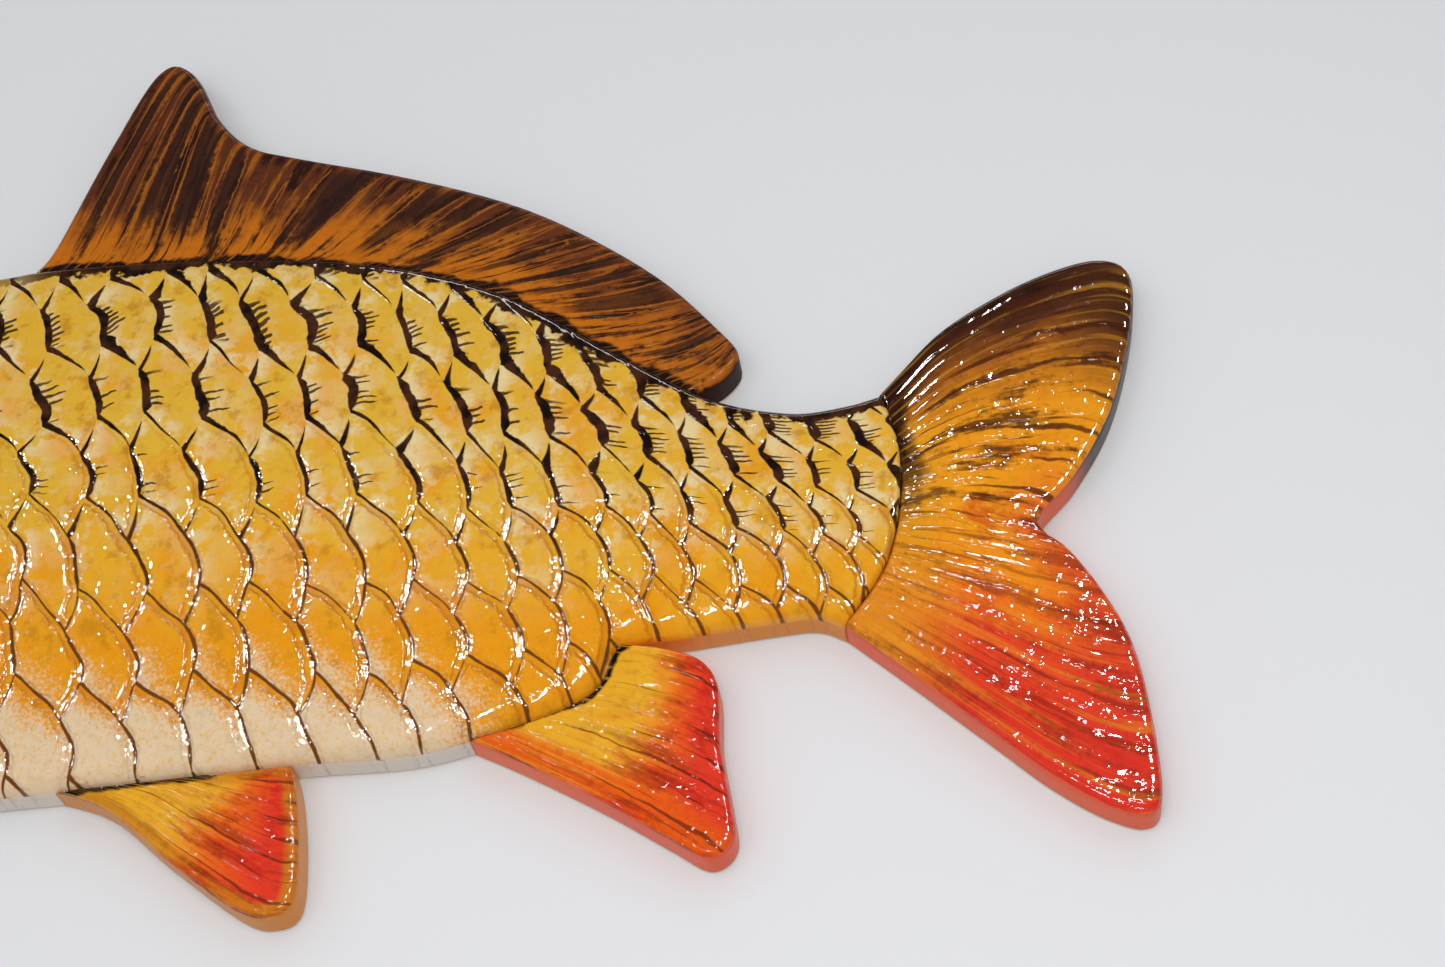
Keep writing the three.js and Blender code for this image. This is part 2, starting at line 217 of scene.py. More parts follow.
def carved_board(name, x, y, height, maps, pockets=(), pocket_depth=0.0):
    """A grid over the sheet becomes a solid: the grid is the front, its border drops in rings
    to the back plane, and the back is a flat polygon with any pockets sunk into it.

    maps holds a vector for each grid point, by name, for the paint to read."""
    across, up = x.shape
    number = np.arange(across * up).reshape(across, up)
    border = np.concatenate([number[:-1, 0], number[-1, :-1], number[:0:-1, -1], number[0, :0:-1]])
    a, b = number[:-1, :-1], number[1:, :-1]
    c, d = number[1:, 1:], number[:-1, 1:]
    quads = [np.stack([a, b, c, d], axis=-1).reshape(-1, 4)]
    points = [to_frame(x, y, height).reshape(-1, 3)]
    rim = points[0][border]
    upper, count = border, across * up
    for share in WALL_STEPS:
        lower = count + np.arange(len(border))
        count += len(border)
        ring = rim.copy()
        ring[:, 1] *= share
        points.append(ring)
        quads.append(np.stack([upper, lower, np.roll(lower, -1), np.roll(upper, -1)], axis=-1))
        upper = lower
    back_numbers, back_lines = [upper], [np.stack([ring[:, 0], ring[:, 2]], axis=-1)]
    triangles = []
    for pocket in pockets:
        level = 0 * pocket[:, 0]
        mouth, floor = to_frame(*pocket.T, level), to_frame(*pocket.T, level + pocket_depth)
        at_mouth = count + np.arange(len(pocket))
        at_floor = at_mouth + len(pocket)
        count += 2 * len(pocket)
        points += [mouth, floor]
        sides = [at_floor, np.roll(at_floor, -1), np.roll(at_mouth, -1), at_mouth]
        quads.append(np.stack(sides, axis=-1))
        triangles.append(back_triangles([floor[:, [0, 2]]], [at_floor]))
        back_numbers.append(at_mouth)
        back_lines.append(mouth[:, [0, 2]])
    triangles.append(back_triangles(back_lines, back_numbers))
    points, quads, triangles = np.concatenate(points), np.concatenate(quads), np.concatenate(triangles)

    mesh = bpy.data.meshes.new(name)
    mesh.from_pydata(points, [], quads.tolist() + triangles.tolist())
    mesh.polygons.foreach_set("use_smooth", np.ones(len(mesh.polygons), bool))
    for label, values in maps.items():
        attribute = mesh.attributes.new(label, "FLOAT_VECTOR", "POINT")
        rows = np.zeros((len(points), 3), np.float32)
        rows[:across * up] = np.stack(values, axis=-1).reshape(-1, 3)
        for ring_start in range(across * up, across * up + len(WALL_STEPS) * len(border), len(border)):
            rows[ring_start:ring_start + len(border)] = rows[border]
        attribute.data.foreach_set("vector", rows.ravel())
    mesh.validate()
    mark_back_corners(mesh)
    piece = bpy.data.objects.new(name, mesh)
    scene.collection.objects.link(piece)
    print(f"{name}: {len(quads) * 2 + len(triangles)} triangles")
    return piece


def back_triangles(lines, numbers):
    """A flat polygon with holes cut into triangles that face the wall, which is along +Y."""
    flat = np.concatenate(lines)
    found = geometry.tessellate_polygon([[Vector((u, v, 0)) for u, v in line] for line in lines])
    corners = np.array(found, int)
    p, q, r = (flat[corners[:, k]] for k in range(3))
    turn = np.cross(q - p, r - p)
    corners[turn > 0] = corners[turn > 0][:, ::-1]
    return np.concatenate(numbers)[corners[np.abs(turn) > 1e-14]]


def mark_back_corners(mesh):
    """Marks every edge between the flat back and a wall as sharp, so that each is shaded flat."""
    is_back = read_all(mesh.polygons, "normal", np.float32, 3)[:, 1] > 0.99
    edge_of, sizes = read_all(mesh.loops, "edge_index"), read_all(mesh.polygons, "loop_total")
    on_back = np.zeros(len(mesh.edges), int)
    np.add.at(on_back, edge_of, np.repeat(is_back, sizes).astype(int))
    sharp = mesh.attributes.new("sharp_edge", "BOOLEAN", "EDGE")
    sharp.data.foreach_set("value", on_back == 1)


def dress(piece, node, finish):
    """Puts the finish on a carved piece, which then stands for a node and rides with the fish."""
    piece.data.materials.append(finish)
    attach(piece, "fish")
    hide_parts(node)


# %% [markdown]
# ## The trunk's shape
# The front is crowned like a shallow dish turned over, highest along the middle. The belly
# and back edges are rounded over by hand. The grid runs from the belly line to the back
# line, with its columns closer together over the scales than over the head.

# %% The trunk's edges and its crowned front
TRUNK_RIM = 12.0
TRUNK_CROWN = 1000 * (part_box("trunk")[1].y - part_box("trunk")[0].y)
TAIL_ROOT_CROWN = 14.5
GILL_X = 138.0
GILL_BEND = 26.0

trunk_loop = outlines["trunk"][0]
belly_line = smooth_line(stretch(trunk_loop, (0, -10), (509, -40)))
tail_line = smooth_line(stretch(trunk_loop, (509, -40), (517, 41)))
back_line = smooth_line(stretch(trunk_loop, (517, 41), (0, -10)))[::-1]
belly_line, back_line = (line[np.argsort(line[:, 0])] for line in (belly_line, back_line))

HEAD_COLUMNS, FLANK_COLUMNS, TRUNK_ROWS = 104, 440, 152
ROW_CROWDING = 0.11 / np.pi
NOSE_X = 1.5


def trunk_grid():
    """A patch between four edges: straight columns from the belly to the back, eased at the
    tail end towards the curved seam. The rows lie closer together near both edges, where the
    front is rounded over."""
    belly_end, back_end = belly_line[-1], back_line[-1]
    share_of_head = GILL_X / belly_end[0]
    s = np.concatenate([
        share_of_head * np.linspace(0, 1, HEAD_COLUMNS, endpoint=False) ** 1.15,
        np.linspace(share_of_head, 1, FLANK_COLUMNS),
    ])[:, None]
    t = np.linspace(0, 1, TRUNK_ROWS)
    t = (t - ROW_CROWDING * np.sin(2 * np.pi * t))[None, :]
    low_x = NOSE_X + s * (belly_end[0] - NOSE_X)
    high_x = NOSE_X + s * (back_end[0] - NOSE_X)
    low_y = np.interp(low_x, *belly_line.T)
    high_y = np.interp(high_x, *back_line.T)
    seam = along(tail_line, t.ravel())[None]
    bulge = seam - (belly_end + (back_end - belly_end) * t[..., None])
    x = low_x + (high_x - low_x) * t + s * bulge[..., 0]
    y = low_y + (high_y - low_y) * t + s * bulge[..., 1]
    return x, y, np.broadcast_to(t, x.shape)


def crown(x, y):
    """Height of the plain front: the rim, plus a crown that is highest midway between belly
    and back, fades over the snout and thins towards the tail."""
    top, bottom = np.interp(x, *back_line.T), np.interp(x, *belly_line.T)
    across = np.clip((2 * y - top - bottom) / (top - bottom + 0.01), -1, 1)
    towards_tail = smooth_step(0.5 * SHEET_LENGTH, 0.86 * SHEET_LENGTH, x)
    middle = TRUNK_CROWN + (TAIL_ROOT_CROWN - TRUNK_CROWN) * towards_tail - TRUNK_RIM
    over_head = np.sqrt(np.clip(x / (0.15 * SHEET_LENGTH), 0, 1))
    return TRUNK_RIM + middle * over_head * (1 - across ** 2) ** 0.7


trunk_x, trunk_y, trunk_t = trunk_grid()
trunk_height = crown(trunk_x, trunk_y)
to_belly = distance_to(belly_line[::3], trunk_x, trunk_y)
to_back = distance_to(back_line[::3], trunk_x, trunk_y)
to_tail = distance_to(tail_line[::3], trunk_x, trunk_y)
print("trunk grid", trunk_x.shape, "front up to", trunk_height.max().round(1), "mm")

# %% [markdown]
# ## Where each scale lies
# Carp scales lie like roof tiles: rows are offset by half a scale, and each scale's rounded
# edge covers the start of the ones behind it. Two numbers give a point's place: u counts
# scales from head to tail and v counts rows down from the back. The rows close up towards
# the tail. An edge is an arc in u and v, and where several scales cover a point the one
# nearest the head lies on top. The paint works out the same arcs, so lines and carving meet.

# %% The lattice of scales
ROW_X = [80, 150, 215, 300, 360, 420, 480, 525]
ROW_1_Y = [40, 60, 68, 69.5, 66, 54, 30, 26]
ROW_GAP = [22, 27, 30.5, 31, 29.5, 24.5, 17.5, 17.5]
COLUMN_X = [80, 215, 330, 380, 420, 455, 525]
COLUMN_GAP = [18.5, 20.2, 17.4, 16, 14, 12.4, 12]
FIRST_COLUMN = 0.83
LEAN = 0.45
UPPER_ARC, UPPER_POWER = 1.2, 2.4
LOWER_ARC, LOWER_POWER = 1.05, 1.6
ARC_SLANT = 0.6


def eased(places, values, x):
    """Values read between a few places along the fish, with the corners smoothed away."""
    fine = np.arange(0, SHEET_LENGTH + 60, 1.0) - 30
    read = np.interp(fine, places, values)
    window = np.hanning(49)
    read = np.convolve(np.pad(read, 24, mode="edge"), window / window.sum(), mode="valid")
    return np.interp(x, fine, read)


def scale_places(x, y):
    """u, v and the column gap at each point. The columns lean back as they go down."""
    v = 1 + (eased(ROW_X, ROW_1_Y, x) - y) / eased(ROW_X, ROW_GAP, x)
    leaned = x + LEAN * y
    fine = np.arange(-100, 700, 1.0)
    counted = np.cumsum(1 / eased(COLUMN_X, COLUMN_GAP, fine))
    u = FIRST_COLUMN + np.interp(leaned, fine, counted)
    u = u + 0.10 * wander(x, y, 46, seed=3) + 0.05 * wander(x, y, 24, seed=5)
    v = v + 0.07 * wander(x, y, 60, seed=4) + 0.03 * wander(x, y, 25, seed=6)
    return u, v, eased(COLUMN_X, COLUMN_GAP, x)


def scale_edges(u, v, gap):
    """Distance in mm to the visible scale's own edge, and to the nearest edge in front of it.

    Two rows can cover a point, the one whose centre is above it and the one below. In each,
    the share of the way from the last arc to the next gives both distances, squeezed by how
    steeply the arc slants. The row whose next arc starts nearer the head is on top."""
    row = np.floor(v)
    down = v - row
    shares, starts, slants = [], [], []
    for number, rise, power, reach, sign in (
            (row, down, LOWER_POWER, LOWER_ARC, -1), (row + 1, 1 - down, UPPER_POWER, UPPER_ARC, 1)):
        offset = 0.5 * (number % 2)
        place = u - offset + reach * rise ** power
        shares.append(place - np.floor(place))
        starts.append(offset + np.floor(place) + 1)
        slope = LEAN + sign * ARC_SLANT * reach * power * rise ** (power - 1)
        slants.append(gap / np.sqrt(1 + slope ** 2))
    above_wins = starts[0] < starts[1]
    (own_share, other_share), (own_start, other_start), (own_slant, other_slant) = (
        (np.where(above_wins, *pair), np.where(above_wins, *pair[::-1]))
        for pair in (shares, starts, slants))
    ahead = (1 - own_share) * own_slant
    behind = own_share * own_slant
    crossed = other_start - 1 < own_start
    behind = np.where(crossed, np.minimum(behind, other_share * other_slant), behind)
    return ahead, behind, 1 - own_share


scale_u, scale_v, column_gap = scale_places(trunk_x, trunk_y)
ahead, behind, scale_share = scale_edges(scale_u, scale_v, column_gap)
gill_edge = GILL_X - GILL_BEND * (trunk_y / 60.0) ** 2
on_flank = smooth_step(-0.5, 2.0, trunk_x - gill_edge)
print("rows", scale_v.min().round(1), "to", scale_v.max().round(1))

# %% [markdown]
# ## Carving the scales
# A carver cuts in along each edge, then pares the scale behind down to it. The same comes
# from a few profiles of the distance to the edges: a shingle that rises to its free edge,
# a plateau within it and a groove. The cuts get deeper from the back to the belly.

# %% Profiles of the cuts
SHINGLE = (0.30, 0.95)
PLATEAU = (0.0, 0.24)
GROOVE_REACH = 2.2
STEP_WIDTH = 1.3


def scale_relief(ahead, behind, share, row):
    """Each scale rises like a shingle towards its free edge, has a plateau inside a flat band,
    and drops into a groove at every edge. The cuts are shallow near the back and deep below."""
    deep = smooth_step(2.0, 4.2, row)
    shingle = (SHINGLE[0] + (SHINGLE[1] - SHINGLE[0]) * deep) * (1.0 - 0.9 * share)
    plateau = (PLATEAU[0] + (PLATEAU[1] - PLATEAU[0]) * deep)
    plateau = plateau * smooth_step(1.5, 3.8, ahead) * smooth_step(0.3, 3.0, behind)
    step = smooth_step(-0.7, STEP_WIDTH, ahead)
    lap = 0.6 + 0.4 * smooth_step(-0.5, GROOVE_REACH, behind)
    return shingle * step * lap + plateau - 0.35


def rounded_over(distance, radius):
    """How far a quarter-round edge of this radius has dropped at a distance in from the rim."""
    inside = np.clip(1 - distance / radius, 0, 1)
    return radius * (1 - np.sqrt(np.maximum(1 - inside ** 2, 0)))


scale_cuts = scale_relief(ahead, behind, scale_share, scale_v)
print("scales stand", scale_cuts.min().round(2), "to", scale_cuts.max().round(2), "mm off the crown")

# %% [markdown]
# ## Carving the head
# The head is smooth, with a few V cuts: cheek, mouth, lip, brow, jaw and the edge of the gill
# cover, which carries faint fanned ridges. The barbels are left standing as thin ridges,
# because loose ones would snap off. A ring stands round the socket of the glass eye.

# %% Lines of the head and their cuts
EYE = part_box("eye_glass")
EYE_PLACE = to_sheet(np.array([[(EYE[0].x + EYE[1].x) / 2, 0, (EYE[0].z + EYE[1].z) / 2]]))[0]
EYE_RADIUS = 500 * (EYE[1].x - EYE[0].x)
EYE_FLOOR = -1000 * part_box("eye_iris")[1].y - 0.35
HEAD_LINES = {
    "cheek": [(88, 50), (99, 30), (105, 8), (103, -14), (94, -34), (80, -48)],
    "mouth": [(0, -13), (10, -15), (19, -18), (26, -24), (28, -30)],
    "lip": [(3, -3), (14, -6), (24, -11), (33, -20), (36, -29)],
    "brow": [(40, 34), (52, 38), (66, 37), (80, 30), (92, 20)],
    "jaw": [(30, -32), (48, -36), (66, -42), (82, -50)],
    "long_barbel": [(33, -19), (37, -27), (38, -37), (35, -45)],
    "short_barbel": [(22, -9), (20, -1), (15, 4)],
}
head_lines = {name: distance_to(smooth_line(np.array(line, float), 8), trunk_x, trunk_y)
              for name, line in HEAD_LINES.items()}
to_eye = np.hypot(trunk_x - EYE_PLACE[0], trunk_y - EYE_PLACE[1])
to_nostril = np.hypot((trunk_x - 37) / 1.7, trunk_y - 15)
to_gill = trunk_x - gill_edge


def groove(distance, half_width, depth):
    """A smooth-sided channel along a line: a raised-cosine dip of the given half width."""
    return -depth * 0.5 * (1 + np.cos(np.pi * np.clip(distance / half_width, 0, 1)))


head_carving = groove(head_lines["cheek"], 3.2, 0.9) + groove(head_lines["mouth"], 1.9, 1.5)
head_carving += groove(head_lines["lip"], 2.6, 0.6) + groove(head_lines["jaw"], 3.0, 0.6)
head_carving += groove(head_lines["brow"], 4.0, 0.5) + groove(to_nostril, 1.8, 1.0)
for barbel in ("long_barbel", "short_barbel"):
    head_carving -= groove(head_lines[barbel], 1.7, 1.3)
head_carving += 0.5 * smooth_step(-70, -8, to_gill) * smooth_step(2, 4, head_lines["cheek"])
on_cover = smooth_step(-30, -22, to_gill) * smooth_step(-4, -8, to_gill)
fan = np.arctan2(trunk_y - 12, trunk_x - 88)
head_carving += 0.16 * on_cover * np.cos(26 * fan)
head_carving *= 1 - on_flank
head_carving += groove(to_gill + 0.8, 3.0, 1.7) * smooth_step(3.0, 7.0, to_back)
eye_ring = np.clip(1 - ((to_eye - EYE_RADIUS - 2.2) / 1.9) ** 2, 0, 1)
head_carving += 0.9 * np.sqrt(eye_ring)
print("eye at", EYE_PLACE.round(1), "radius", round(EYE_RADIUS, 1), "floor", round(EYE_FLOOR, 1))

# %% [markdown]
# ## One carved trunk
# The cuts fade out near the seams, the long edges are rounded over and the eye's socket is
# bored to its flat floor. Under the dorsal fin the back stays nearly square, so that the fin
# butts against it. The places and distances that the paint needs go along on the mesh.

# %% Join the carving to the trunk
fade = smooth_step(1.0, 6.0, to_back) * smooth_step(1.0, 7.0, to_belly)
fade = fade * smooth_step(0.5, 4.0, to_tail)
head_fade = smooth_step(0.5, 4.0, np.minimum(to_back, to_belly))
trunk_height = trunk_height + scale_cuts * on_flank * fade + head_carving * head_fade
under_dorsal = smooth_step(218, 226, trunk_x) * smooth_step(462, 452, trunk_x)
trunk_height -= rounded_over(to_belly, 4.5) + (1 - 0.75 * under_dorsal) * rounded_over(to_back, 2.5)
trunk_height -= 0.5 * rounded_over(to_tail, 1.5)
in_socket = smooth_step(EYE_RADIUS + 1.2, EYE_RADIUS + 0.3, to_eye)
trunk_height = trunk_height + in_socket * (EYE_FLOOR - trunk_height)
line_to_paint = np.minimum.reduce([head_lines[name] for name in ("cheek", "mouth", "jaw")])
line_to_paint = np.minimum(line_to_paint, to_nostril + 0.3)
barbel_to_paint = np.minimum(head_lines["long_barbel"], head_lines["short_barbel"])
trunk_maps = {
    "scales": (scale_u, scale_v, column_gap),
    "margins": (to_back, to_belly, to_tail),
    "body": (trunk_t, on_flank, to_gill),
    "head": (line_to_paint, barbel_to_paint, to_eye),
}
POCKET_DEPTH = 6.2
trunk_skin = carved_board("carved_trunk", trunk_x, trunk_y, trunk_height, trunk_maps,
                          outlines["trunk"][1:3], POCKET_DEPTH)

# %% [markdown]
# ## The fins' shape
# A fin is a flat board with rays that fan from its root to its free edge. The grid's lines
# follow the rays, so each groove runs cleanly down one line of the mesh: one parameter goes
# along a ray and the other counts across them.

# %% Patch between a fin's four edges
EVEN = ([0, 1], [0, 1])
FIN_PLANS = {
    # corners: where the root starts and ends, then the far corners next to its end and its start;
    # how the rays spread; how many there are and the depth of their grooves in mm; the grid
    "dorsal_fin": {
        "corners": [(222, 93), (457, 42), (471, 57), (255, 188)],
        "spread": ([0, .16, .33, .54, .75, 1], [0, .12, .36, .67, .89, 1]),
        "rays": 44, "cut": 0.10, "grid": (330, 100),
    },
    "tail_fin": {
        "corners": [(515, 40), (508, -39), (597, -97), (591, 91)],
        "spread": EVEN, "rays": 30, "cut": 0.34, "grid": (240, 96),
    },
    "anal_fin": {
        "corners": [(443, -46), (398, -77), (472, -113), (470, -54)],
        "spread": EVEN, "rays": 15, "cut": 0.34, "grid": (110, 90),
    },
    "pelvic_fin": {
        "corners": [(322, -88), (272, -95), (352, -133), (348, -87)],
        "spread": EVEN, "rays": 13, "cut": 0.30, "grid": (96, 90),
    },
    "pectoral_fin": {
        "corners": [(168, -87), (117, -70), (203, -137), (194, -95)],
        "spread": EVEN, "rays": 13, "cut": 0.30, "grid": (96, 90),
    },
}
FIN_THICKNESS = 1000 * (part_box("dorsal_fin")[1].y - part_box("dorsal_fin")[0].y)


def fin_grid(name):
    """A patch blended from its root, its free edge and the two outer rays."""
    plan, loop = FIN_PLANS[name], outlines[name][0]
    start, end, far_end, far_start = plan["corners"]
    root = smooth_line(stretch(loop, start, end))
    last_ray = smooth_line(stretch(loop, end, far_end))
    free_edge = smooth_line(stretch(loop, far_end, far_start))[::-1]
    first_ray = smooth_line(stretch(loop, far_start, start))[::-1]
    across, up = (np.linspace(0, 1, count) for count in plan["grid"])
    w, u = across[:, None, None], up[None, :, None]
    bottom = along(root, across)[:, None]
    top = along(free_edge, np.interp(across, *plan["spread"]))[:, None]
    left, right = along(first_ray, up)[None], along(last_ray, up)[None]
    corners = ((1 - w) * (1 - u) * root[0] + w * (1 - u) * root[-1]
               + (1 - w) * u * free_edge[0] + w * u * free_edge[-1])
    patch = (1 - u) * bottom + u * top + (1 - w) * left + w * right - corners
    free = np.concatenate([first_ray[:-1], free_edge[:-1], last_ray[::-1]])
    return patch[..., 0], patch[..., 1], across[:, None], up[None, :], free, root


def ray_relief(across, up, rays, cut, x, y, seed):
    """Rounded ridges with narrow grooves between, uneven in depth, fading out at the root."""
    bend = 0.35 * wander(x, y, 60, seed)
    phase = across * rays + bend
    groove = np.abs(2 * (phase - np.floor(phase)) - 1)
    depth = cut * (1 + 0.6 * wander(x, y, 35, seed + 1))
    return -depth * groove ** 3 * smooth_step(0.02, 0.15, up)


def carved_fin(name, seed):
    """The fin's front: board thickness, less the rays' grooves and the rounded free edge."""
    plan = FIN_PLANS[name]
    x, y, across, up, free, root = fin_grid(name)
    to_free, to_root = distance_to(free[::3], x, y), distance_to(root[::3], x, y)
    height = FIN_THICKNESS + ray_relief(across, up, plan["rays"], plan["cut"], x, y, seed)
    height -= rounded_over(to_free, 2.2) + 0.5 * rounded_over(to_root, 1.2)
    maps = {
        "rays": (across + 0 * up, up + 0 * across, to_free),
        "fin": (to_root, x, y),
    }
    return carved_board("carved_" + name, x, y, height, maps)


FIRST_FIN_SEED = 20
fin_skins = {name: carved_fin(name, FIRST_FIN_SEED + 3 * k) for k, name in enumerate(FIN_PLANS)}

# %% [markdown]
# ## Writing paint as sums
# A finish is a picture worked out at every point of the surface. Wrapping a shader socket
# in a small class lets such a picture be written as ordinary sums, which is easier to read
# and to change than a page of wired nodes.

# %% Sockets that can be added and multiplied
def sum_method(operation, swapped=False):
    """A Python operator, such as + or <, that makes a Math node."""
    def method(self, other):
        return self.finish.maths(operation, *((other, self) if swapped else (self, other)))
    return method


class Value:
    """One output of a shader node, usable in Python sums."""

    def __init__(self, finish, socket):
        self.finish, self.socket = finish, socket

    __add__ = __radd__ = sum_method("ADD")
    __sub__, __rsub__ = sum_method("SUBTRACT"), sum_method("SUBTRACT", swapped=True)
    __mul__ = __rmul__ = sum_method("MULTIPLY")
    __truediv__, __pow__ = sum_method("DIVIDE"), sum_method("POWER")
    __lt__, __gt__ = sum_method("LESS_THAN"), sum_method("GREATER_THAN")


class Finish:
    """A material under construction. node() makes any node; the rest are short names for it."""

    def __init__(self, name):
        self.material = bpy.data.materials.new(name)
        self.material.use_nodes = True
        self.tree = self.material.node_tree
        self.tree.nodes.clear()

    def node(self, kind, settings=None, sockets=None, output=0):
        """Makes a node, sets its settings, then sets or links its sockets, and returns one output."""
        made = self.tree.nodes.new(kind)
        for key, value in (settings or {}).items():
            if key == "stops":
                ramp = made.color_ramp
                while len(ramp.elements) < len(value):
                    ramp.elements.new(0.5)
                for element, (position, colour) in zip(ramp.elements, value):
                    element.position, element.color = position, (*colour, 1)
            else:
                setattr(made, key, value)
        for key, value in (sockets or {}).items():
            if isinstance(value, Value):
                self.tree.links.new(value.socket, made.inputs[key])
            elif isinstance(value, tuple) and len(value) == 3 and made.inputs[key].type == "RGBA":
                made.inputs[key].default_value = (*value, 1)
            else:
                made.inputs[key].default_value = value
        return Value(self, made.outputs[output]) if made.outputs else None

    def maths(self, operation, first, second=0.0):
        return self.node("ShaderNodeMath", {"operation": operation}, {0: first, 1: second})

    def floor(self, value):
        return self.maths("FLOOR", value)

    def size(self, value):
        """How far a value is from 0, either way."""
        return self.maths("ABSOLUTE", value)

    def least(self, first, second):
        return self.maths("MINIMUM", first, second)

    def most(self, first, second):
        return self.maths("MAXIMUM", first, second)

    def ease(self, low, high, value):
        """0 at low, 1 at high and an S curve between. low may be the larger."""
        return self.node("ShaderNodeMapRange", {"interpolation_type": "SMOOTHSTEP"},
                         {"Value": value, "From Min": low, "From Max": high})

    def slope(self, low, high, value):
        """0 at low, 1 at high and a straight line between: a bevel, once it is a bump."""
        return self.node("ShaderNodeMapRange", {}, {"Value": value, "From Min": low, "From Max": high})

    def mix(self, amount, first, second, blend="MIX"):
        """first where amount is 0, second where it is 1."""
        return self.node("ShaderNodeMix", {"data_type": "RGBA", "blend_type": blend},
                         {0: amount, 6: first, 7: second}, output=2)

    def ramp(self, value, *stops):
        return self.node("ShaderNodeValToRGB", {"stops": stops}, {0: value})

    def split(self, vector):
        """The three numbers of a vector."""
        made = self.node("ShaderNodeSeparateXYZ", {}, {0: vector})
        return [Value(self, made.socket.node.outputs[k]) for k in range(3)]

    def vector(self, x, y, z):
        return self.node("ShaderNodeCombineXYZ", {}, {0: x, 1: y, 2: z})

    def stored(self, name):
        """The three numbers that the mesh stores at each point under this name."""
        return self.split(self.node("ShaderNodeAttribute", {"attribute_name": name}, {}, output=1))

    def place(self):
        """The point's place in the frame."""
        return self.node("ShaderNodeTexCoord", {}, {}, output=3)

    def faces_back(self):
        """1 on the flat back, which looks along +Y, and 0 elsewhere."""
        facing = self.split(self.node("ShaderNodeTexCoord", {}, {}, output=1))
        return facing[1] > 0.9

    def stretched(self, place, scale):
        """The place with each axis scaled, which draws a noise out into fibres."""
        return self.node("ShaderNodeMapping", {}, {"Vector": place, "Scale": scale})

    def bare_board(self, place):
        """Unpainted fibreboard: tan, with fine fibres and a few darker specks."""
        fibres = self.noise(self.stretched(place, (0.4, 1, 1)), 900, 4, 0.7)
        tone = self.noise(place, 14, 3)
        board = self.mix(self.ease(0.35, 0.65, tone), (0.42, 0.29, 0.17), (0.52, 0.38, 0.24))
        return self.mix(0.55 * self.ease(0.45, 0.70, fibres), board, (0.28, 0.18, 0.10))

    def noise(self, vector, scale, detail=2.0, rough=0.5):
        return self.node("ShaderNodeTexNoise", {}, {
            "Vector": vector, "Scale": scale, "Detail": detail, "Roughness": rough})

    def chance(self, x, y, z=0.0):
        """A random number between 0 and 1 that is the same wherever x, y and z are the same."""
        spot = {"Vector": self.vector(x, y, z)}
        return self.node("ShaderNodeTexWhiteNoise", {"noise_dimensions": "3D"}, spot)

    def bump(self, height_mm):
        """A normal that follows a height given in millimetres."""
        return self.node("ShaderNodeBump", {}, {"Strength": 1.0, "Distance": 0.001, "Height": height_mm})

    def skin(self, **sockets):
        """Ends the material in a Principled shader."""
        named = {key.replace("_", " "): value for key, value in sockets.items()}
        shader = self.node("ShaderNodeBsdfPrincipled", {}, named)
        self.node("ShaderNodeOutputMaterial", {}, {0: shader})
        return self.material


print("names for sums:", [name for name in vars(Finish) if name[0] != "_"])

# %% [markdown]
# ## Paint on the trunk
# The back is golden yellow, the flanks turn orange and the belly fades to cream under a
# speckle of orange. Dark brown brush strokes follow the scale edges: thick, with short comb
# ticks, along the back and hair-thin near the belly.

# %% Scale edges, as the paint sees them
GOLD = (0.86, 0.50, 0.048)
PALE = (0.92, 0.76, 0.42)
AMBER = (0.90, 0.46, 0.030)
ORANGE = (0.92, 0.36, 0.012)
CREAM = (0.84, 0.72, 0.52)
BURNT = (0.70, 0.17, 0.005)
RUST = (0.62, 0.26, 0.012)
# The next colour is painted shade: the darker line at the foot of each scale's plateau.
FOOT_SHADE_BROWN = (0.62, 0.20, 0.010)
AGED_VARNISH = (0.80, 0.62, 0.35)
CAP_BROWN = (0.16, 0.055, 0.012)
LID_BROWN = (0.30, 0.10, 0.012)
BARBEL_BROWN = (0.45, 0.16, 0.015)
THIN_BROWN = (0.20, 0.065, 0.012)
UMBER = (0.075, 0.026, 0.012)
INK = (0.012, 0.007, 0.006)
BARE_SIDE = (0.80, 0.70, 0.60)
AMBER_SIDE = (0.78, 0.26, 0.02)
HIDDEN = 50
TAIL_ROOT_X = 0.150


def painted_edges(f, u, v, gap):
    """The same arcs as in the carving, for each of the two rows that can cover a point."""
    row = f.floor(v)
    down = v - row
    rows = []
    for number, rise, power, reach, sign in (
            (row, down, LOWER_POWER, LOWER_ARC, -1), (row + 1, 1 - down, UPPER_POWER, UPPER_ARC, 1)):
        offset = 0.5 * f.maths("FLOORED_MODULO", number, 2.0)
        place = u - offset + reach * rise ** power
        slope = LEAN + (sign * ARC_SLANT * reach * power) * rise ** (power - 1)
        rows.append({
            "row": number, "rise": rise, "share": f.maths("FRACT", place), "count": f.floor(place),
            "start": offset + f.floor(place) + 1,
            "slant": gap / f.maths("SQRT", 1 + slope * slope),
        })
    upper, lower = rows
    upper["top"] = upper["start"] < lower["start"]
    lower["top"] = 1 - upper["top"]
    for this, other in ((upper, lower), (lower, upper)):
        seen = this["start"] - 1 < other["start"]
        before = this["share"] * this["slant"]
        after = (1 - this["share"]) * this["slant"]
        this["before"] = before + HIDDEN * (1 - f.most(this["top"], seen))
        this["after"] = after + HIDDEN * (1 - this["top"])
    return upper, lower


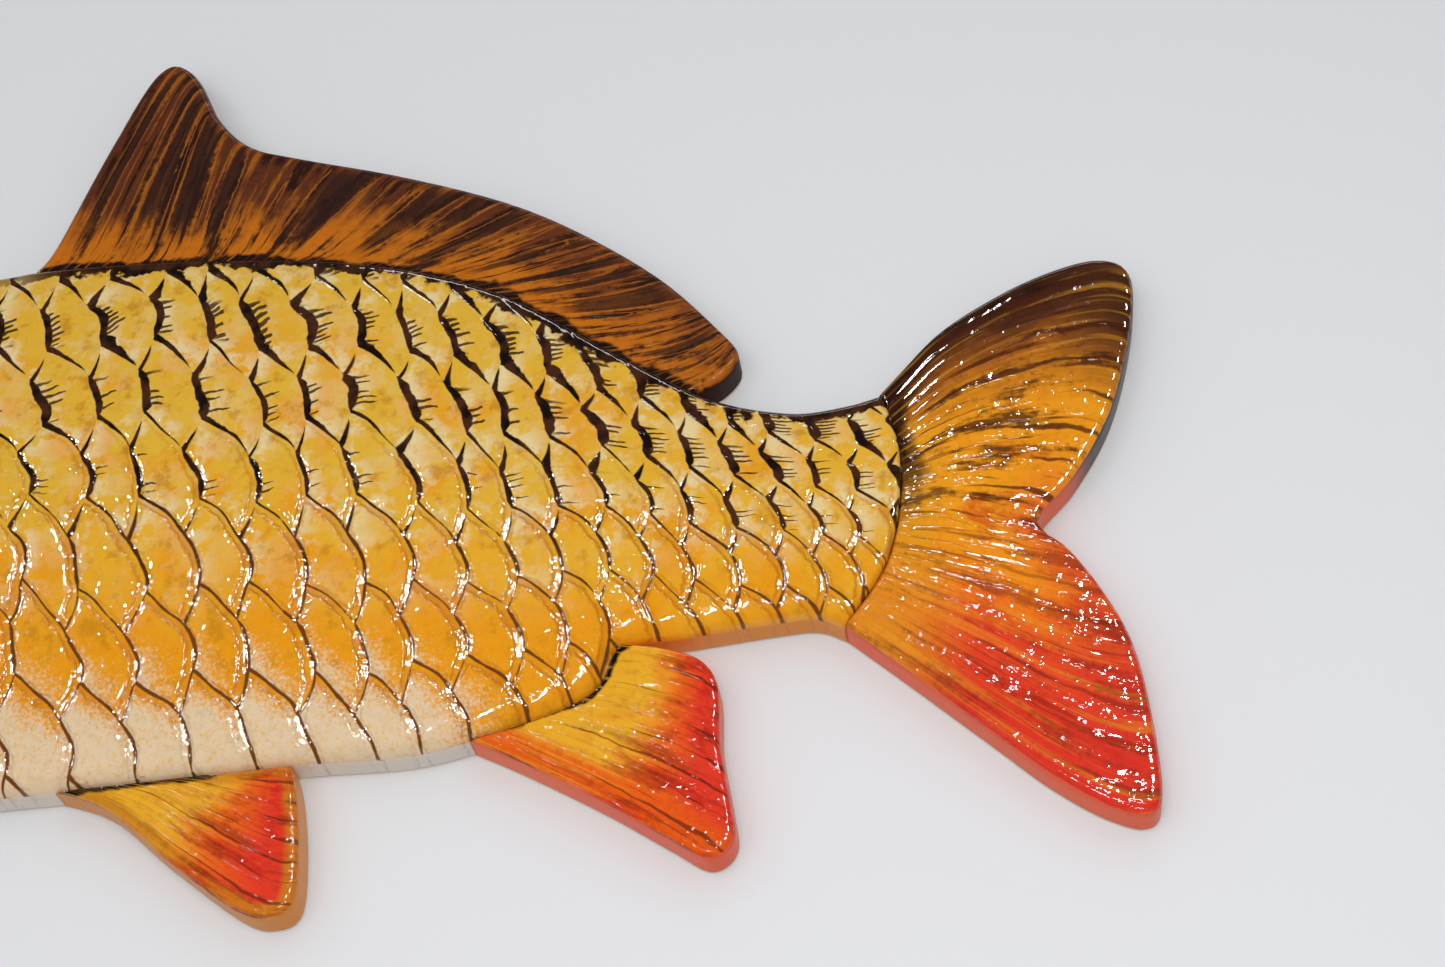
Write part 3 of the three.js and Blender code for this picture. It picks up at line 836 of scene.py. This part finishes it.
def trunk_point(f):
    """What the paint needs to know about a point of the trunk: its place among the scales, its
    distance in mm from every edge, and several fields of noise."""
    p = SimpleNamespace(place=f.place())
    u, p.v, gap = f.stored("scales")
    p.to_back, p.to_belly = f.stored("margins")[:2]
    p.across, p.flank, p.past_gill = f.stored("body")
    p.low, p.front = 1 - p.across, 1 - p.flank
    p.x, y = f.split(p.place)[:2]
    p.depth = -1000 * y
    p.patches = f.noise(p.place, 45, 3)
    p.mottle = f.noise(p.place, 75, 4, 0.62)
    p.fleck = f.noise(p.place, 330, 3, 0.65)
    p.grain = f.noise(p.place, 420, 3, 0.6)
    p.shake = f.noise(p.place, 260, 2)
    p.upper, p.lower = painted_edges(f, u, p.v, gap)
    p.after = f.least(p.upper["after"], p.lower["after"]) + 0.9 * (p.shake - 0.5)
    p.before = f.least(p.upper["before"], p.lower["before"]) + 0.9 * (p.shake - 0.5)
    p.wobble = 1.8 * (f.noise(p.place, 170, 2) - 0.5) + 1.7 * (f.noise(p.place, 460, 1) - 0.5)
    p.inner = f.slope(1.9, 3.1, p.after + p.wobble) * f.slope(0.8, 1.8, p.before + p.wobble)
    return p


print("the paint reads:", ", ".join(trunk_maps))

# %% [markdown]
# ## Layers of paint and varnish
# The trunk's colours are laid one over another, each where a sum says: first the flank,
# then the head, the dark strokes, the side walls and the bare back. The varnish over them
# only changes how the light falls.

# %% Paint and varnish the trunk
def flank_colour(f, p):
    """Gold above, orange below, pale and rusty mottling, painted shade at the foot of each plateau, and
    a cream belly under a fine speckle.
    """
    x, low, mottle, before = p.x, p.low, p.mottle, p.before
    base = f.ramp(low + 0.16 * (p.patches - 0.5),
                  (0.0, GOLD), (0.40, GOLD), (0.60, AMBER), (0.78, ORANGE), (1.0, ORANGE))
    orange = f.ease(0.46, 0.62, p.patches + 0.4 * (mottle - 0.5)) * f.ease(0.0, 0.35, low)
    base = f.mix(0.80 * orange, base, ORANGE)
    at_tail = f.ease(TAIL_ROOT_X, TAIL_ROOT_X + 0.025, x)
    base = f.mix(0.8 * at_tail * f.ease(0.65, 0.35, p.patches), base, AMBER)
    pale = f.ease(0.43, 0.62, mottle + 0.6 * (p.fleck - 0.5)) * f.ease(0.80, 0.50, low)
    pale = pale * (0.30 + 0.70 * f.ease(8.0, 1.5, before))
    base = f.mix(0.88 * pale, base, PALE)
    rust = f.ease(0.52, 0.68, f.noise(p.place, 120, 4, 0.65)) * f.ease(2.0, 6.0, before)
    base = f.mix(0.70 * rust, base, RUST)
    band = (1 - p.inner) * f.ease(0.40, 0.62, low) * f.ease(0.35, 0.65, mottle)
    base = f.mix(0.45 * band, base, BURNT)
    # Painted shade: a darker line along the foot of each lower scale's plateau, standing for the shadow
    # of the carved step and for varnish pooled there.
    rim = f.ease(0.9, 0.1, f.size(p.after - 2.1 + p.wobble)) * f.ease(0.30, 0.50, low) * p.flank
    base = f.mix(0.50 * rim, base, FOOT_SHADE_BROWN)
    own_front = f.most(p.upper["share"] * p.upper["top"], p.lower["share"] * p.lower["top"])
    belly = f.ease(0.70, 1.02, low + 0.14 * (1 - own_front) - 0.05)
    belly = belly * f.ease(TAIL_ROOT_X, TAIL_ROOT_X - 0.055, x)
    speck = f.noise(p.place, 900, 2, 0.7)
    speckled = f.ease(0.35, 0.85, belly + 1.3 * (speck - 0.5) + 0.35 * (mottle - 0.5))
    base = f.mix(0.80 * speckled, base, CREAM)
    dots = f.ease(0.55, 0.64, f.noise(p.place, 700, 3, 0.6))
    base = f.mix(0.5 * belly * dots, base, AMBER)
    return f.mix(0.30 * f.ease(0.40, 0.75, p.fleck), base, AGED_VARNISH, "MULTIPLY")


def head_colour(f, p, base, line, barbel, eye):
    """Over the flank's colours: a brown cap, cream throat, orange glow, and shading in the cuts."""
    cap = f.ease(0.72, 0.95, p.across + 0.22 * (p.mottle - 0.5)) * p.front
    base = f.mix(0.85 * cap, base, CAP_BROWN)
    throat = f.ease(0.62, 0.95, p.low + 0.25 * (p.mottle - 0.5)) * p.front
    base = f.mix(0.85 * throat, base, CREAM)
    glow = f.ease(0.40, 0.62, f.noise(p.place, 33, 2)) * p.front * (1 - throat)
    base = f.mix(0.5 * glow, base, ORANGE)
    shade = f.ease(9.0, 0.0, line + 5 * (p.mottle - 0.5)) * p.front
    base = f.mix(0.45 * shade, base, BURNT)
    lid = f.ease(10.4, 9.6, eye + 0.8 * (p.shake - 0.5))
    base = f.mix(0.9 * lid, base, LID_BROWN)
    return f.mix(f.ease(1.8, 1.0, barbel) * p.front, base, BARBEL_BROWN)


def dark_lines(f, p, line, eye):
    """Where the brush left a dark mark: the strokes on the scales, the ragged seam along the back,
    the hairlines of the head, the gill's edge and the rim of the eye."""
    strokes = brush_strokes(f, p) * p.flank
    dab = f.noise(p.place, 110, 3, 0.6)
    seam = f.ease(5.2, 3.8, p.to_back + 17.0 * (dab - 0.5)) * f.ease(-0.09, -0.04, p.x)
    hairline = f.ease(0.5 + 0.9 * p.shake, 0.2 + 0.6 * p.shake, line) * p.front
    gill_line = f.ease(1.5 + 1.6 * p.shake, 0.7 + 1.2 * p.shake, f.size(p.past_gill + 0.6))
    gill_line = gill_line * f.ease(3.0, 9.0, p.to_belly)
    ink = f.most(f.most(strokes, seam), f.most(hairline, gill_line))
    return f.most(ink, f.ease(8.0, 7.5, eye))


def brush_strokes(f, p):
    """Dark strokes along the arcs. The middle of each arc is a thick stroke with a comb of short
    ticks on its tail side. Both ends of an arc start as a tail off the neighbouring stroke and
    taper away. Towards the belly the strokes become one thin unbroken line."""
    total = None
    for part, middle_end, tail_start, tail_share in (
            (p.upper, 0.26, 0.24, 0.80), (p.lower, 0.34, 0.26, 0.90)):
        row, rise, before, after = part["row"], part["rise"], part["before"], part["after"]
        luck = f.chance(part["count"], row, 3.0)
        weight = f.ease(4.4, 0.9, row)
        thick = 0.50 + weight * (0.60 + 0.95 * luck)
        middle = f.ease(middle_end + 0.03, middle_end - 0.12, rise)
        start = tail_start + 0.09 * f.ease(3.0, 2.0, row)
        tail = tail_share * (rise - start) / (0.68 - start) * (0.55 + 0.6 * luck)
        thin = (0.16 + 0.42 * luck) * f.ease(2.6, 4.0, row) * f.ease(0.32, 0.45, p.mottle)
        width = f.most(thick * f.most(middle, tail), thin)
        width = width * (0.35 + 1.3 * p.shake)
        shown = f.ease(0.08, 0.22, width)
        side = f.most(f.ease(1.25 * width + 0.3, 1.25 * width - 0.2, before),
                      f.ease(0.8 * width + 0.25, 0.8 * width - 0.2, after))
        bold = f.ease(2.5, 1.4, row)
        height = p.v * (11.5 + 2.5 * bold) + (0.06 + 0.16 * bold) * before + 0.8 * p.shake
        tick_luck = f.chance(f.floor(height), part["count"], row)
        reach = thick + (1.8 + 4.4 * tick_luck) * f.ease(4.2, 2.6, row)
        tooth = f.maths("PINGPONG", height, 0.5) - 0.17 * before / reach + 0.16 * bold * (0.6 + luck)
        tick = f.ease(0.25, 0.33, tooth) * f.ease(reach, reach - 0.8, before)
        tick = tick * f.ease(middle_end, middle_end - 0.08, rise)
        tick = tick * (tick_luck > 0.02 + 0.19 * row) * (row < 3.6)
        marks = f.most(side * shown, 0.92 * tick)
        total = marks if total is None else f.most(total, marks)
    return total


def varnish_height(f, p):
    """Height of the varnish in mm: soft pools, runs, a plateau inside each scale with a beaded
    rim, and a hollow along the edges. It is thin near the back and thick on the lower rows."""
    deep = f.ease(1.9, 3.6, p.v)
    edge = f.least(p.after, p.before)
    waver = f.noise(p.place, 190, 2)
    bead = f.ease(1.5, 0.0, f.size(p.after - 2.6 + 2.2 * (waver - 0.5)))
    pools = 0.26 * f.noise(p.place, 110, 2) + 0.10 * f.noise(p.place, 300, 2, 0.5)
    runs = f.slope(0.46, 0.54, f.noise(p.place, 125, 2) + 0.12 * (p.shake - 0.5))
    running = f.ease(1.6, 3.0, p.v + 1.5 * f.ease(0.12, 0.20, p.x)) * f.ease(0.9, 0.7, p.low)
    runs = runs * (0.03 + 0.11 * running)
    beads = 0.16 * f.ease(5.0, 1.5, edge) * deep * p.flank * f.noise(p.place, 430, 2, 0.6)
    plateau = (0.03 + 0.40 * deep) * p.inner * p.flank + (0.02 + 0.14 * deep) * bead * p.flank
    return beads + plateau + pools + runs - 0.05 * f.ease(1.0, 0.0, edge) * p.flank


def trunk_paint():
    """Colours, dark lines, side walls and bare back, under the gloss varnish."""
    f = Finish("trunk_paint")
    p = trunk_point(f)
    line, barbel, eye = f.stored("head")
    base = head_colour(f, p, flank_colour(f, p), line, barbel, eye)
    brush = f.mix(f.ease(0.35, 0.65, f.noise(p.place, 150, 2)), INK, UMBER)
    thinned = 0.85 * f.ease(0.42, 0.80, p.low + 0.2 * (p.mottle - 0.5)) * p.flank
    colour = f.mix(dark_lines(f, p, line, eye), base, f.mix(thinned, brush, THIN_BROWN))
    wall = f.ease(8.2, 7.4, p.depth + 0.8 * (p.shake - 0.5))
    side = f.mix(f.ease(TAIL_ROOT_X, TAIL_ROOT_X + 0.008, p.x), BARE_SIDE, AMBER_SIDE)
    colour = f.mix(wall, colour, f.mix(f.ease(0.45, 0.55, p.across), side, INK))
    back = f.faces_back()
    colour = f.mix(back, colour, f.bare_board(p.place))
    return f.skin(Base_Color=colour, Roughness=0.04 + 0.05 * p.grain + 0.3 * wall + 0.4 * back,
                  Normal=f.bump(varnish_height(f, p) * (1 - 0.9 * back)))


dress(trunk_skin, "trunk", trunk_paint())
print("trunk painted with", len(bpy.data.materials["trunk_paint"].node_tree.nodes), "nodes")

# %% [markdown]
# ## Paint on the fins
# Each fin is washed from its root to its tip, then streaked along its rays with a nearly dry
# brush. Its cut edge is one plain colour, a shade brighter than the front.

# %% Streaked fin paint
CRIMSON = (0.62, 0.022, 0.012)
SLAB_BROWN = (0.036, 0.016, 0.011)
GRAIN_TINT = (0.6, 0.5, 0.4)
VERMILION = (0.90, 0.115, 0.010)
AMBER_RIM = (0.66, 0.24, 0.014)


def fin_paint(name, wash, side, dark, light, streaks, gloss=1.0, dull=0.0, shine=0.5,
              red=0.0, two_lobes=False, slabs=False, clear_root=False):
    """wash gives the plain colour from the ray map. Over it go dark and light brush strokes, each
    a colour and an amount: noise stretched along the rays, its darkest and lightest parts kept.
    two_lobes is for the tail, whose lower half has fewer dark strokes and more red. slabs adds
    broad dark patches edged in the light colour. clear_root keeps the strokes off the root."""
    f = Finish(name)
    p = SimpleNamespace(place=f.place())
    p.across, p.up, p.to_free = f.stored("rays")
    p.to_root = f.stored("fin")[0]
    depth = -1000 * f.split(p.place)[1]
    shake = f.noise(p.place, 260, 2)
    grain = f.noise(p.place, 500, 3, 0.6)
    p.blot = f.noise(p.place, 70, 3, 0.6)
    across, up, blot = p.across, p.up, p.blot
    p.broad = f.noise(f.vector(across * streaks * 0.7, up * 1.3, 0.0), 1.0, 4, 0.66)
    fine = f.noise(f.vector(across * streaks * 2.4 + 7, up * 1.2, 2.0), 1.0, 3, 0.6)

    colour = wash(f, p)
    (dark, dark_amount), (light, light_amount) = dark, light
    if two_lobes:
        dark_amount = dark_amount * (1 - 0.5 * f.ease(0.42, 0.62, across))
        red = red * f.ease(0.17, 0.55, across + 0.01)
    patches = dark_amount
    if clear_root:
        patches = 0.55 * dark_amount * f.ease(0.0, 0.6, up)
        light_amount = light_amount * f.ease(0.9, 0.35, up)
    colour = f.mix(light_amount * f.ease(0.50, 0.66, fine), colour, light)
    redder = f.noise(f.vector(across * streaks * 0.5, up * 2.6, 9.0), 1.0, 4, 0.7)
    colour = f.mix(red * f.ease(0.50, 0.66, redder) * f.ease(0.1, 0.6, up), colour, CRIMSON)
    colour = f.mix(patches * f.ease(0.50, 0.62, p.broad + 0.16 * (grain - 0.5)), colour, dark)
    colour = f.mix(patches * f.ease(0.41, 0.35, fine) * f.ease(0.3, 0.55, blot), colour, dark)
    bend = 0.5 * (blot - 0.5) + 0.25 * (p.broad - 0.5)
    ray = f.maths("PINGPONG", across * streaks * 0.62 + bend, 0.5)
    breaks = f.noise(f.vector(across * 9, up * 1.6, 3.0), 1.0, 2) - 0.42
    ray_line = f.ease(0.10, 0.03, ray + 0.5 * breaks)
    colour = f.mix(dark_amount * ray_line * f.ease(0.04, 0.20, up), colour, dark)
    if slabs:
        slab = f.noise(f.vector(across * streaks * 0.8 + 3, up * 0.5, 21.0), 1.0, 1, 0.5)
        within = f.ease(0.08, 0.30, up) * f.ease(0.0, 6.0, p.to_free)
        filled = f.ease(0.52, 0.57, slab + 0.10 * (grain - 0.5))
        colour = f.mix(0.78 * filled * within, colour, SLAB_BROWN)
        border = f.ease(0.020, 0.006, f.size(slab + 0.08 * (grain - 0.5) - 0.50))
        colour = f.mix(0.5 * border * within, colour, light)
    colour = f.mix(0.25 * f.ease(0.45, 0.7, grain), colour, GRAIN_TINT, "MULTIPLY")

    wall = f.ease(FIN_THICKNESS - 1.2, FIN_THICKNESS - 1.9, depth + 0.6 * (shake - 0.5))
    colour = f.mix(wall, colour, side(f, p) if callable(side) else side)
    back = f.faces_back()
    colour = f.mix(back, colour, f.bare_board(p.place))
    tongues = f.noise(f.vector(across * streaks * 0.8, up * 2.2, 5.0), 1.0, 2, 0.5)
    raised = f.slope(0.44, 0.54, tongues + 0.20 * (shake - 0.5))
    calm = 0.35 + 0.65 * f.ease(0.12, 0.40, across)
    relief = gloss * calm * (0.28 * raised + 0.14 * shake + 0.12 * blot) + 0.04 * grain
    return f.skin(Base_Color=colour, Roughness=0.04 + 0.06 * grain + dull + 0.3 * wall + 0.4 * back,
                  Specular_IOR_Level=shine, Normal=f.bump(relief * (1 - 0.7 * wall)))


def dorsal_wash(f, p):
    """Dark brown, with ochre showing through near the trunk and a black line where they meet."""
    ochre = f.ease(25, 2, p.to_root + 60 * (p.broad - 0.5) + 34 * (p.blot - 0.5))
    base = f.mix(0.92 * ochre, (0.125, 0.034, 0.014), (0.66, 0.18, 0.008))
    rear = f.ease(0.45, 0.80, p.across) * f.ease(30, 8, p.to_free)
    base = f.mix(0.4 * rear, base, (0.32, 0.08, 0.012))
    return f.mix(f.ease(2.6, 1.2, p.to_root + 10 * (p.blot - 0.5)), base, INK)


def tail_wash(f, p):
    """Black-brown along the upper edge, orange through the middle, red below."""
    across, up = p.across, p.up
    place_across = across + 0.16 * (p.broad - 0.5) + 0.10 * (p.blot - 0.5)
    base = f.ramp(place_across, (0.0, INK), (0.07, (0.10, 0.030, 0.012)),
                  (0.16, (0.48, 0.14, 0.014)), (0.27, (0.96, 0.35, 0.014)), (0.52, (1.0, 0.38, 0.014)),
                  (0.68, (1.0, 0.27, 0.012)), (0.80, (0.90, 0.075, 0.022)), (1.0, (0.78, 0.035, 0.022)))
    rim = f.ease(0.62, 1.0, up + 0.25 * (p.broad - 0.5))
    base = f.mix(rim * f.ease(0.30, 0.10, across), base, UMBER)
    base = f.mix(0.8 * rim * f.ease(0.34, 0.52, across), base, (0.80, 0.045, 0.025))
    base = f.mix(0.75 * f.ease(0.45, 0.10, up) * f.ease(0.16, 0.34, across), base, (0.86, 0.36, 0.018))
    root = f.ease(9, 2, p.to_root + 16 * (p.blot - 0.5)) * f.ease(0.62, 0.30, across)
    return f.mix(root, base, (0.030, 0.012, 0.008))


def low_fin_wash(f, p):
    """Yellow at the root, orange, then red at the tips."""
    far = p.up + 0.34 * (p.broad - 0.5) + 0.22 * (p.blot - 0.5)
    return f.ramp(far, (0.0, (0.90, 0.44, 0.022)), (0.36, (0.94, 0.45, 0.030)),
                  (0.60, (0.92, 0.14, 0.014)), (0.80, (0.86, 0.050, 0.022)), (1.0, (0.80, 0.05, 0.024)))


def anal_wash(f, p):
    """The low fins' wash, with vermilion along the leading edge and a dark line at the root."""
    edge = f.ease(0.72, 0.86, p.across + 0.16 * (p.blot - 0.5))
    base = f.mix(0.95 * edge, low_fin_wash(f, p), VERMILION)
    return f.mix(f.ease(1.8, 0.8, p.to_root + 6 * (p.blot - 0.5)), base, INK)


def pelvic_wash(f, p):
    """The low fins' wash, with an amber rim and a dark line at the root."""
    rim = f.ease(5.0, 2.5, p.to_free + 3 * (p.blot - 0.5))
    base = f.mix(0.8 * rim, low_fin_wash(f, p), AMBER_RIM)
    return f.mix(f.ease(2.2, 1.0, p.to_root + 6 * (p.blot - 0.5)), base, INK)


def tail_side(f, p):
    """Black-brown above, orange-red from the fork down."""
    low = f.mix(f.ease(0.50, 0.60, p.across), (0.86, 0.10, 0.008), (0.90, 0.10, 0.012))
    return f.mix(f.ease(0.44, 0.34, p.across), low, (0.030, 0.014, 0.010))


def anal_side(f, p):
    """Orange-red, redder towards the tip."""
    return f.mix(f.ease(0.3, 0.7, p.up), (0.92, 0.12, 0.008), (0.92, 0.09, 0.010))


dorsal_paint = fin_paint(
    "dorsal_paint", dorsal_wash, (0.045, 0.018, 0.012),
    ((0.026, 0.011, 0.008), 0.92), ((0.56, 0.17, 0.012), 0.65), 50,
    gloss=0.3, dull=0.12, shine=0.12, slabs=True)
tail_paint = fin_paint(
    "tail_paint", tail_wash, tail_side,
    ((0.075, 0.018, 0.009), 0.85), ((0.94, 0.42, 0.025), 0.35), 25, red=0.6, two_lobes=True)
anal_paint = fin_paint(
    "anal_paint", anal_wash, anal_side,
    ((0.10, 0.018, 0.009), 0.75), ((0.94, 0.46, 0.035), 0.5), 13, red=0.7, clear_root=True)
pelvic_paint = fin_paint(
    "pelvic_paint", pelvic_wash, (0.74, 0.24, 0.012),
    ((0.13, 0.026, 0.010), 0.75), ((0.92, 0.42, 0.030), 0.45), 13, red=0.7, clear_root=True)
for name, slot, paint in (
        ("dorsal_fin", "dorsal_paint", dorsal_paint), ("tail_fin", "tail_paint", tail_paint),
        ("anal_fin", "lower_fin_paint", anal_paint), ("pelvic_fin", "lower_fin_paint", pelvic_paint),
        ("pectoral_fin", "lower_fin_paint", pelvic_paint)):
    dress(fin_skins[name], name, paint)
print("fins painted:", len(fin_skins))

# %% [markdown]
# ## Eye, dowels and hanging hardware
# The eye is a clear glass dome over a painted disc. The dowels are beech, the rings and
# screws are zinc-plated steel, the straps are brass and the pads are pressed felt. Their
# shapes come with the frame, so that only their finishes are made here.

# %% Finish the pieces that come with the frame
def cover(nodes, finish):
    """Gives every slot of these nodes the finish."""
    for name in nodes:
        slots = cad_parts[name].data.materials
        if len(slots) == 0:
            slots.append(finish)
        for k in range(len(slots)):
            slots[k] = finish
    print(finish.name, "on", len(nodes))


def from_middle(f, node):
    """Millimetres to the right of a node's middle, above it, and away from it in any direction."""
    low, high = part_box(node)
    place = f.split(f.place())
    across = 1000 * (place[0] - (low.x + high.x) / 2)
    up = 1000 * (place[2] - (low.z + high.z) / 2)
    return across, up, f.maths("SQRT", across * across + up * up)


def iris_paint():
    """A black pupil in a gold ring with fine spokes, darker towards its rim."""
    f = Finish("iris_paint")
    across, up, out = from_middle(f, "eye_iris")
    turn = f.maths("ARCTAN2", up, across)
    spokes = f.noise(f.vector(turn * 9, out * 0.5, 0.0), 1.0, 3, 0.6)
    blot = f.noise(f.place(), 500, 3)
    gold = f.mix(f.ease(0.35, 0.65, spokes), (0.42, 0.13, 0.008), (0.90, 0.50, 0.05))
    gold = f.mix(f.ease(4.2, 5.8, out + 0.8 * (blot - 0.5)), gold, (0.06, 0.02, 0.008))
    colour = f.mix(f.ease(2.9, 2.6, out + 0.25 * (blot - 0.5)), gold, (0.004, 0.004, 0.005))
    return f.skin(Base_Color=colour, Roughness=0.25 + 0.2 * blot, Normal=f.bump(0.06 * spokes))


def eye_glass():
    """Clear cast glass with the faintest ripple."""
    f = Finish("eye_glass")
    ripple = f.noise(f.place(), 180, 1)
    return f.skin(Base_Color=(0.97, 0.97, 0.96), Roughness=0.02 + 0.02 * ripple,
                  Transmission_Weight=1.0, IOR=1.5)


def beech():
    """Pinkish tan wood with short dark flecks and a slow change of tone."""
    f = Finish("beech")
    place = f.place()
    tone = f.noise(place, 60, 2)
    fleck = f.noise(f.stretched(place, (1, 1, 0.25)), 1800, 2, 0.6)
    wood = f.mix(tone, (0.55, 0.34, 0.18), (0.70, 0.47, 0.28))
    wood = f.mix(0.6 * f.ease(0.58, 0.68, fleck), wood, (0.30, 0.15, 0.07))
    return f.skin(Base_Color=wood, Roughness=0.55 + 0.2 * fleck, Normal=f.bump(0.05 * fleck))


def plated(name, light, dark, rough):
    """Plated metal: drawn lines, cloudy patches and a little tarnish."""
    f = Finish(name)
    place = f.place()
    cloud = f.noise(place, 90, 3, 0.6)
    lines = f.noise(f.stretched(place, (1, 8, 1)), 700, 2, 0.6)
    colour = f.mix(f.ease(0.40, 0.72, cloud), light, dark)
    return f.skin(Base_Color=colour, Metallic=1.0 - 0.25 * f.ease(0.6, 0.8, cloud),
                  Roughness=rough + 0.18 * cloud + 0.08 * lines, Normal=f.bump(0.03 * lines))


def felt():
    """Pressed brown wool: a mottle of fibres with a soft nap."""
    f = Finish("felt")
    place = f.place()
    fibres = f.noise(place, 1600, 4, 0.75)
    clumps = f.noise(place, 300, 3)
    wool = f.mix(f.ease(0.35, 0.65, fibres), (0.045, 0.028, 0.018), (0.16, 0.10, 0.065))
    wool = f.mix(0.4 * clumps, wool, (0.20, 0.14, 0.09))
    return f.skin(Base_Color=wool, Roughness=0.92, Sheen_Weight=0.35,
                  Normal=f.bump(0.35 * fibres + 0.2 * clumps))


nodes = list(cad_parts)
cover(["eye_iris"], iris_paint())
cover(["eye_glass"], eye_glass())
cover([name for name in nodes if name.startswith("dowel")], beech())
cover([name for name in nodes if name.startswith(("ring", "screw"))],
      plated("zinc_steel", (0.62, 0.62, 0.60), (0.42, 0.42, 0.41), 0.20))
cover([name for name in nodes if name.startswith("strap")],
      plated("strap_brass", (0.80, 0.58, 0.26), (0.52, 0.34, 0.14), 0.24))
cover([name for name in nodes if name.startswith("felt")], felt())

# %% [markdown]
# ## The wall behind
# The fish hangs on a plain pale wall. The wall only shows from its front and casts no shade
# on what touches it, so that the back of the fish can be looked at too.

# %% The wall behind
WALL_WHITE = (0.80, 0.80, 0.815)
WALL_REACH = 3.0
WALL_GAP = 0.0002


def wall_finish():
    """White paint seen from the front, nothing from behind."""
    f = Finish("backdrop_white")
    paint = f.node("ShaderNodeBsdfPrincipled", {}, {"Base Color": WALL_WHITE, "Roughness": 0.75})
    clear = f.node("ShaderNodeBsdfTransparent")
    behind_it = f.node("ShaderNodeNewGeometry", output=6)
    either = f.node("ShaderNodeMixShader", {}, {0: behind_it, 1: paint, 2: clear})
    f.node("ShaderNodeOutputMaterial", {}, {0: either})
    return f.material


wall_y = cad_high.y + WALL_GAP
corners = [(WALL_REACH * x, wall_y, WALL_REACH * z) for x, z in ((-1, -1), (1, -1), (1, 1), (-1, 1))]
wall_mesh = bpy.data.meshes.new("wall")
wall_mesh.from_pydata(corners, [], [(0, 1, 2, 3)])
wall = bpy.data.objects.new("wall", wall_mesh)
scene.collection.objects.link(wall)
wall_mesh.materials.append(wall_finish())
wall.visible_shadow = False
wall.visible_diffuse = False
print("wall", round(1000 * wall_y, 2), "mm behind the fish's plane")

# %% [markdown]
# ## Light
# The light is that of a pale room: a broad panel and a low lamp light the paint evenly, and
# small windows are mirrored in the varnish as glints. The two jobs are kept apart, so that
# either can be changed alone. One lamp stands behind the wall for the back of the fish.

# %% Lamps and the room
def soft_light(name, place, aim, width, height, power, colour=(1, 1, 1), shines=True, lights=True):
    """A rectangle of light. One that doesn't shine lights the fish but isn't mirrored in its
    varnish, and one that doesn't light is only seen as a mirrored glint."""
    data = bpy.data.lights.new(name, "AREA")
    data.shape, data.size, data.size_y = "RECTANGLE", width, height
    data.energy, data.color = power, colour
    lamp = bpy.data.objects.new(name, data)
    scene.collection.objects.link(lamp)
    lamp.location = place
    lamp.rotation_mode = "QUATERNION"
    lamp.rotation_quaternion = (Vector(aim) - Vector(place)).to_track_quat("-Z", "Y")
    lamp.visible_camera = False
    lamp.visible_glossy = shines
    lamp.visible_diffuse = lights


ROOM_TINT, ROOM_LIGHT = (0.93, 0.96, 1.0, 1), 0.48
middle = Vector((0.15, 0, 0))
under = Vector((0.26, 0, -0.17))
soft_light("sky_panel", (-0.35, -1.9, -0.6), middle, 1.6, 1.6, 8.3, (1.0, 0.985, 0.965), shines=False)
soft_light("low_lamp", (0.32, -0.75, -0.36), under, 0.35, 0.35, 2.0, (1.0, 0.99, 0.97), shines=False)
soft_light("right_window", (0.79, -2.06, 0.82), middle, 0.36, 0.40, 36, lights=False)
soft_light("left_window", (-1.62, -1.38, 0.69), middle, 0.36, 0.36, 34, lights=False)
soft_light("top_window", (0.0, -0.85, 1.80), middle, 0.80, 0.16, 4, lights=False)
soft_light("front_strip", (0.05, -2.25, -0.15), middle, 0.60, 0.20, 20, lights=False)
soft_light("behind", (0.5, 1.7, 0.6), middle, 1.2, 1.2, 7, shines=False)
soft_light("white_ceiling", (0.2, -1.6, 2.2), middle, 2.0, 1.2, 4, (0.95, 0.97, 1.0), shines=False)
world = bpy.data.worlds.new("room")
scene.world = world
world.use_nodes = True
room = world.node_tree.nodes["Background"]
room.inputs["Color"].default_value, room.inputs["Strength"].default_value = ROOM_TINT, ROOM_LIGHT
world.cycles_visibility.glossy = False
scene.view_settings.view_transform = "Standard"
print("lamps:", len(bpy.data.lights))

# %% [markdown]
# ## Camera
# The camera looks up at the rear half from a little below and to the right, as a visitor
# would who stands under the fish.

# %% Place the camera
SENSOR_WIDTH, FOCAL_LENGTH = 36.0, 59.8
CAMERA_PLACE = Vector((0.2957, -0.6285, -0.4255))
CAMERA_AIM = Vector((0.1856, 0.0, -0.0320))
CAMERA_ROLL = math.radians(4.7945)
camera = bpy.data.objects.new("camera", bpy.data.cameras.new("camera"))
scene.collection.objects.link(camera)
camera.data.sensor_width, camera.data.lens = SENSOR_WIDTH, FOCAL_LENGTH
camera.location = CAMERA_PLACE
camera.rotation_mode = "QUATERNION"
looking = (CAMERA_AIM - CAMERA_PLACE).to_track_quat("-Z", "Y")
camera.rotation_quaternion = looking @ Quaternion((0, 0, 1), CAMERA_ROLL)
scene.camera = camera
print("camera", round((CAMERA_AIM - CAMERA_PLACE).length, 3), "m from its aim")

# %% [markdown]
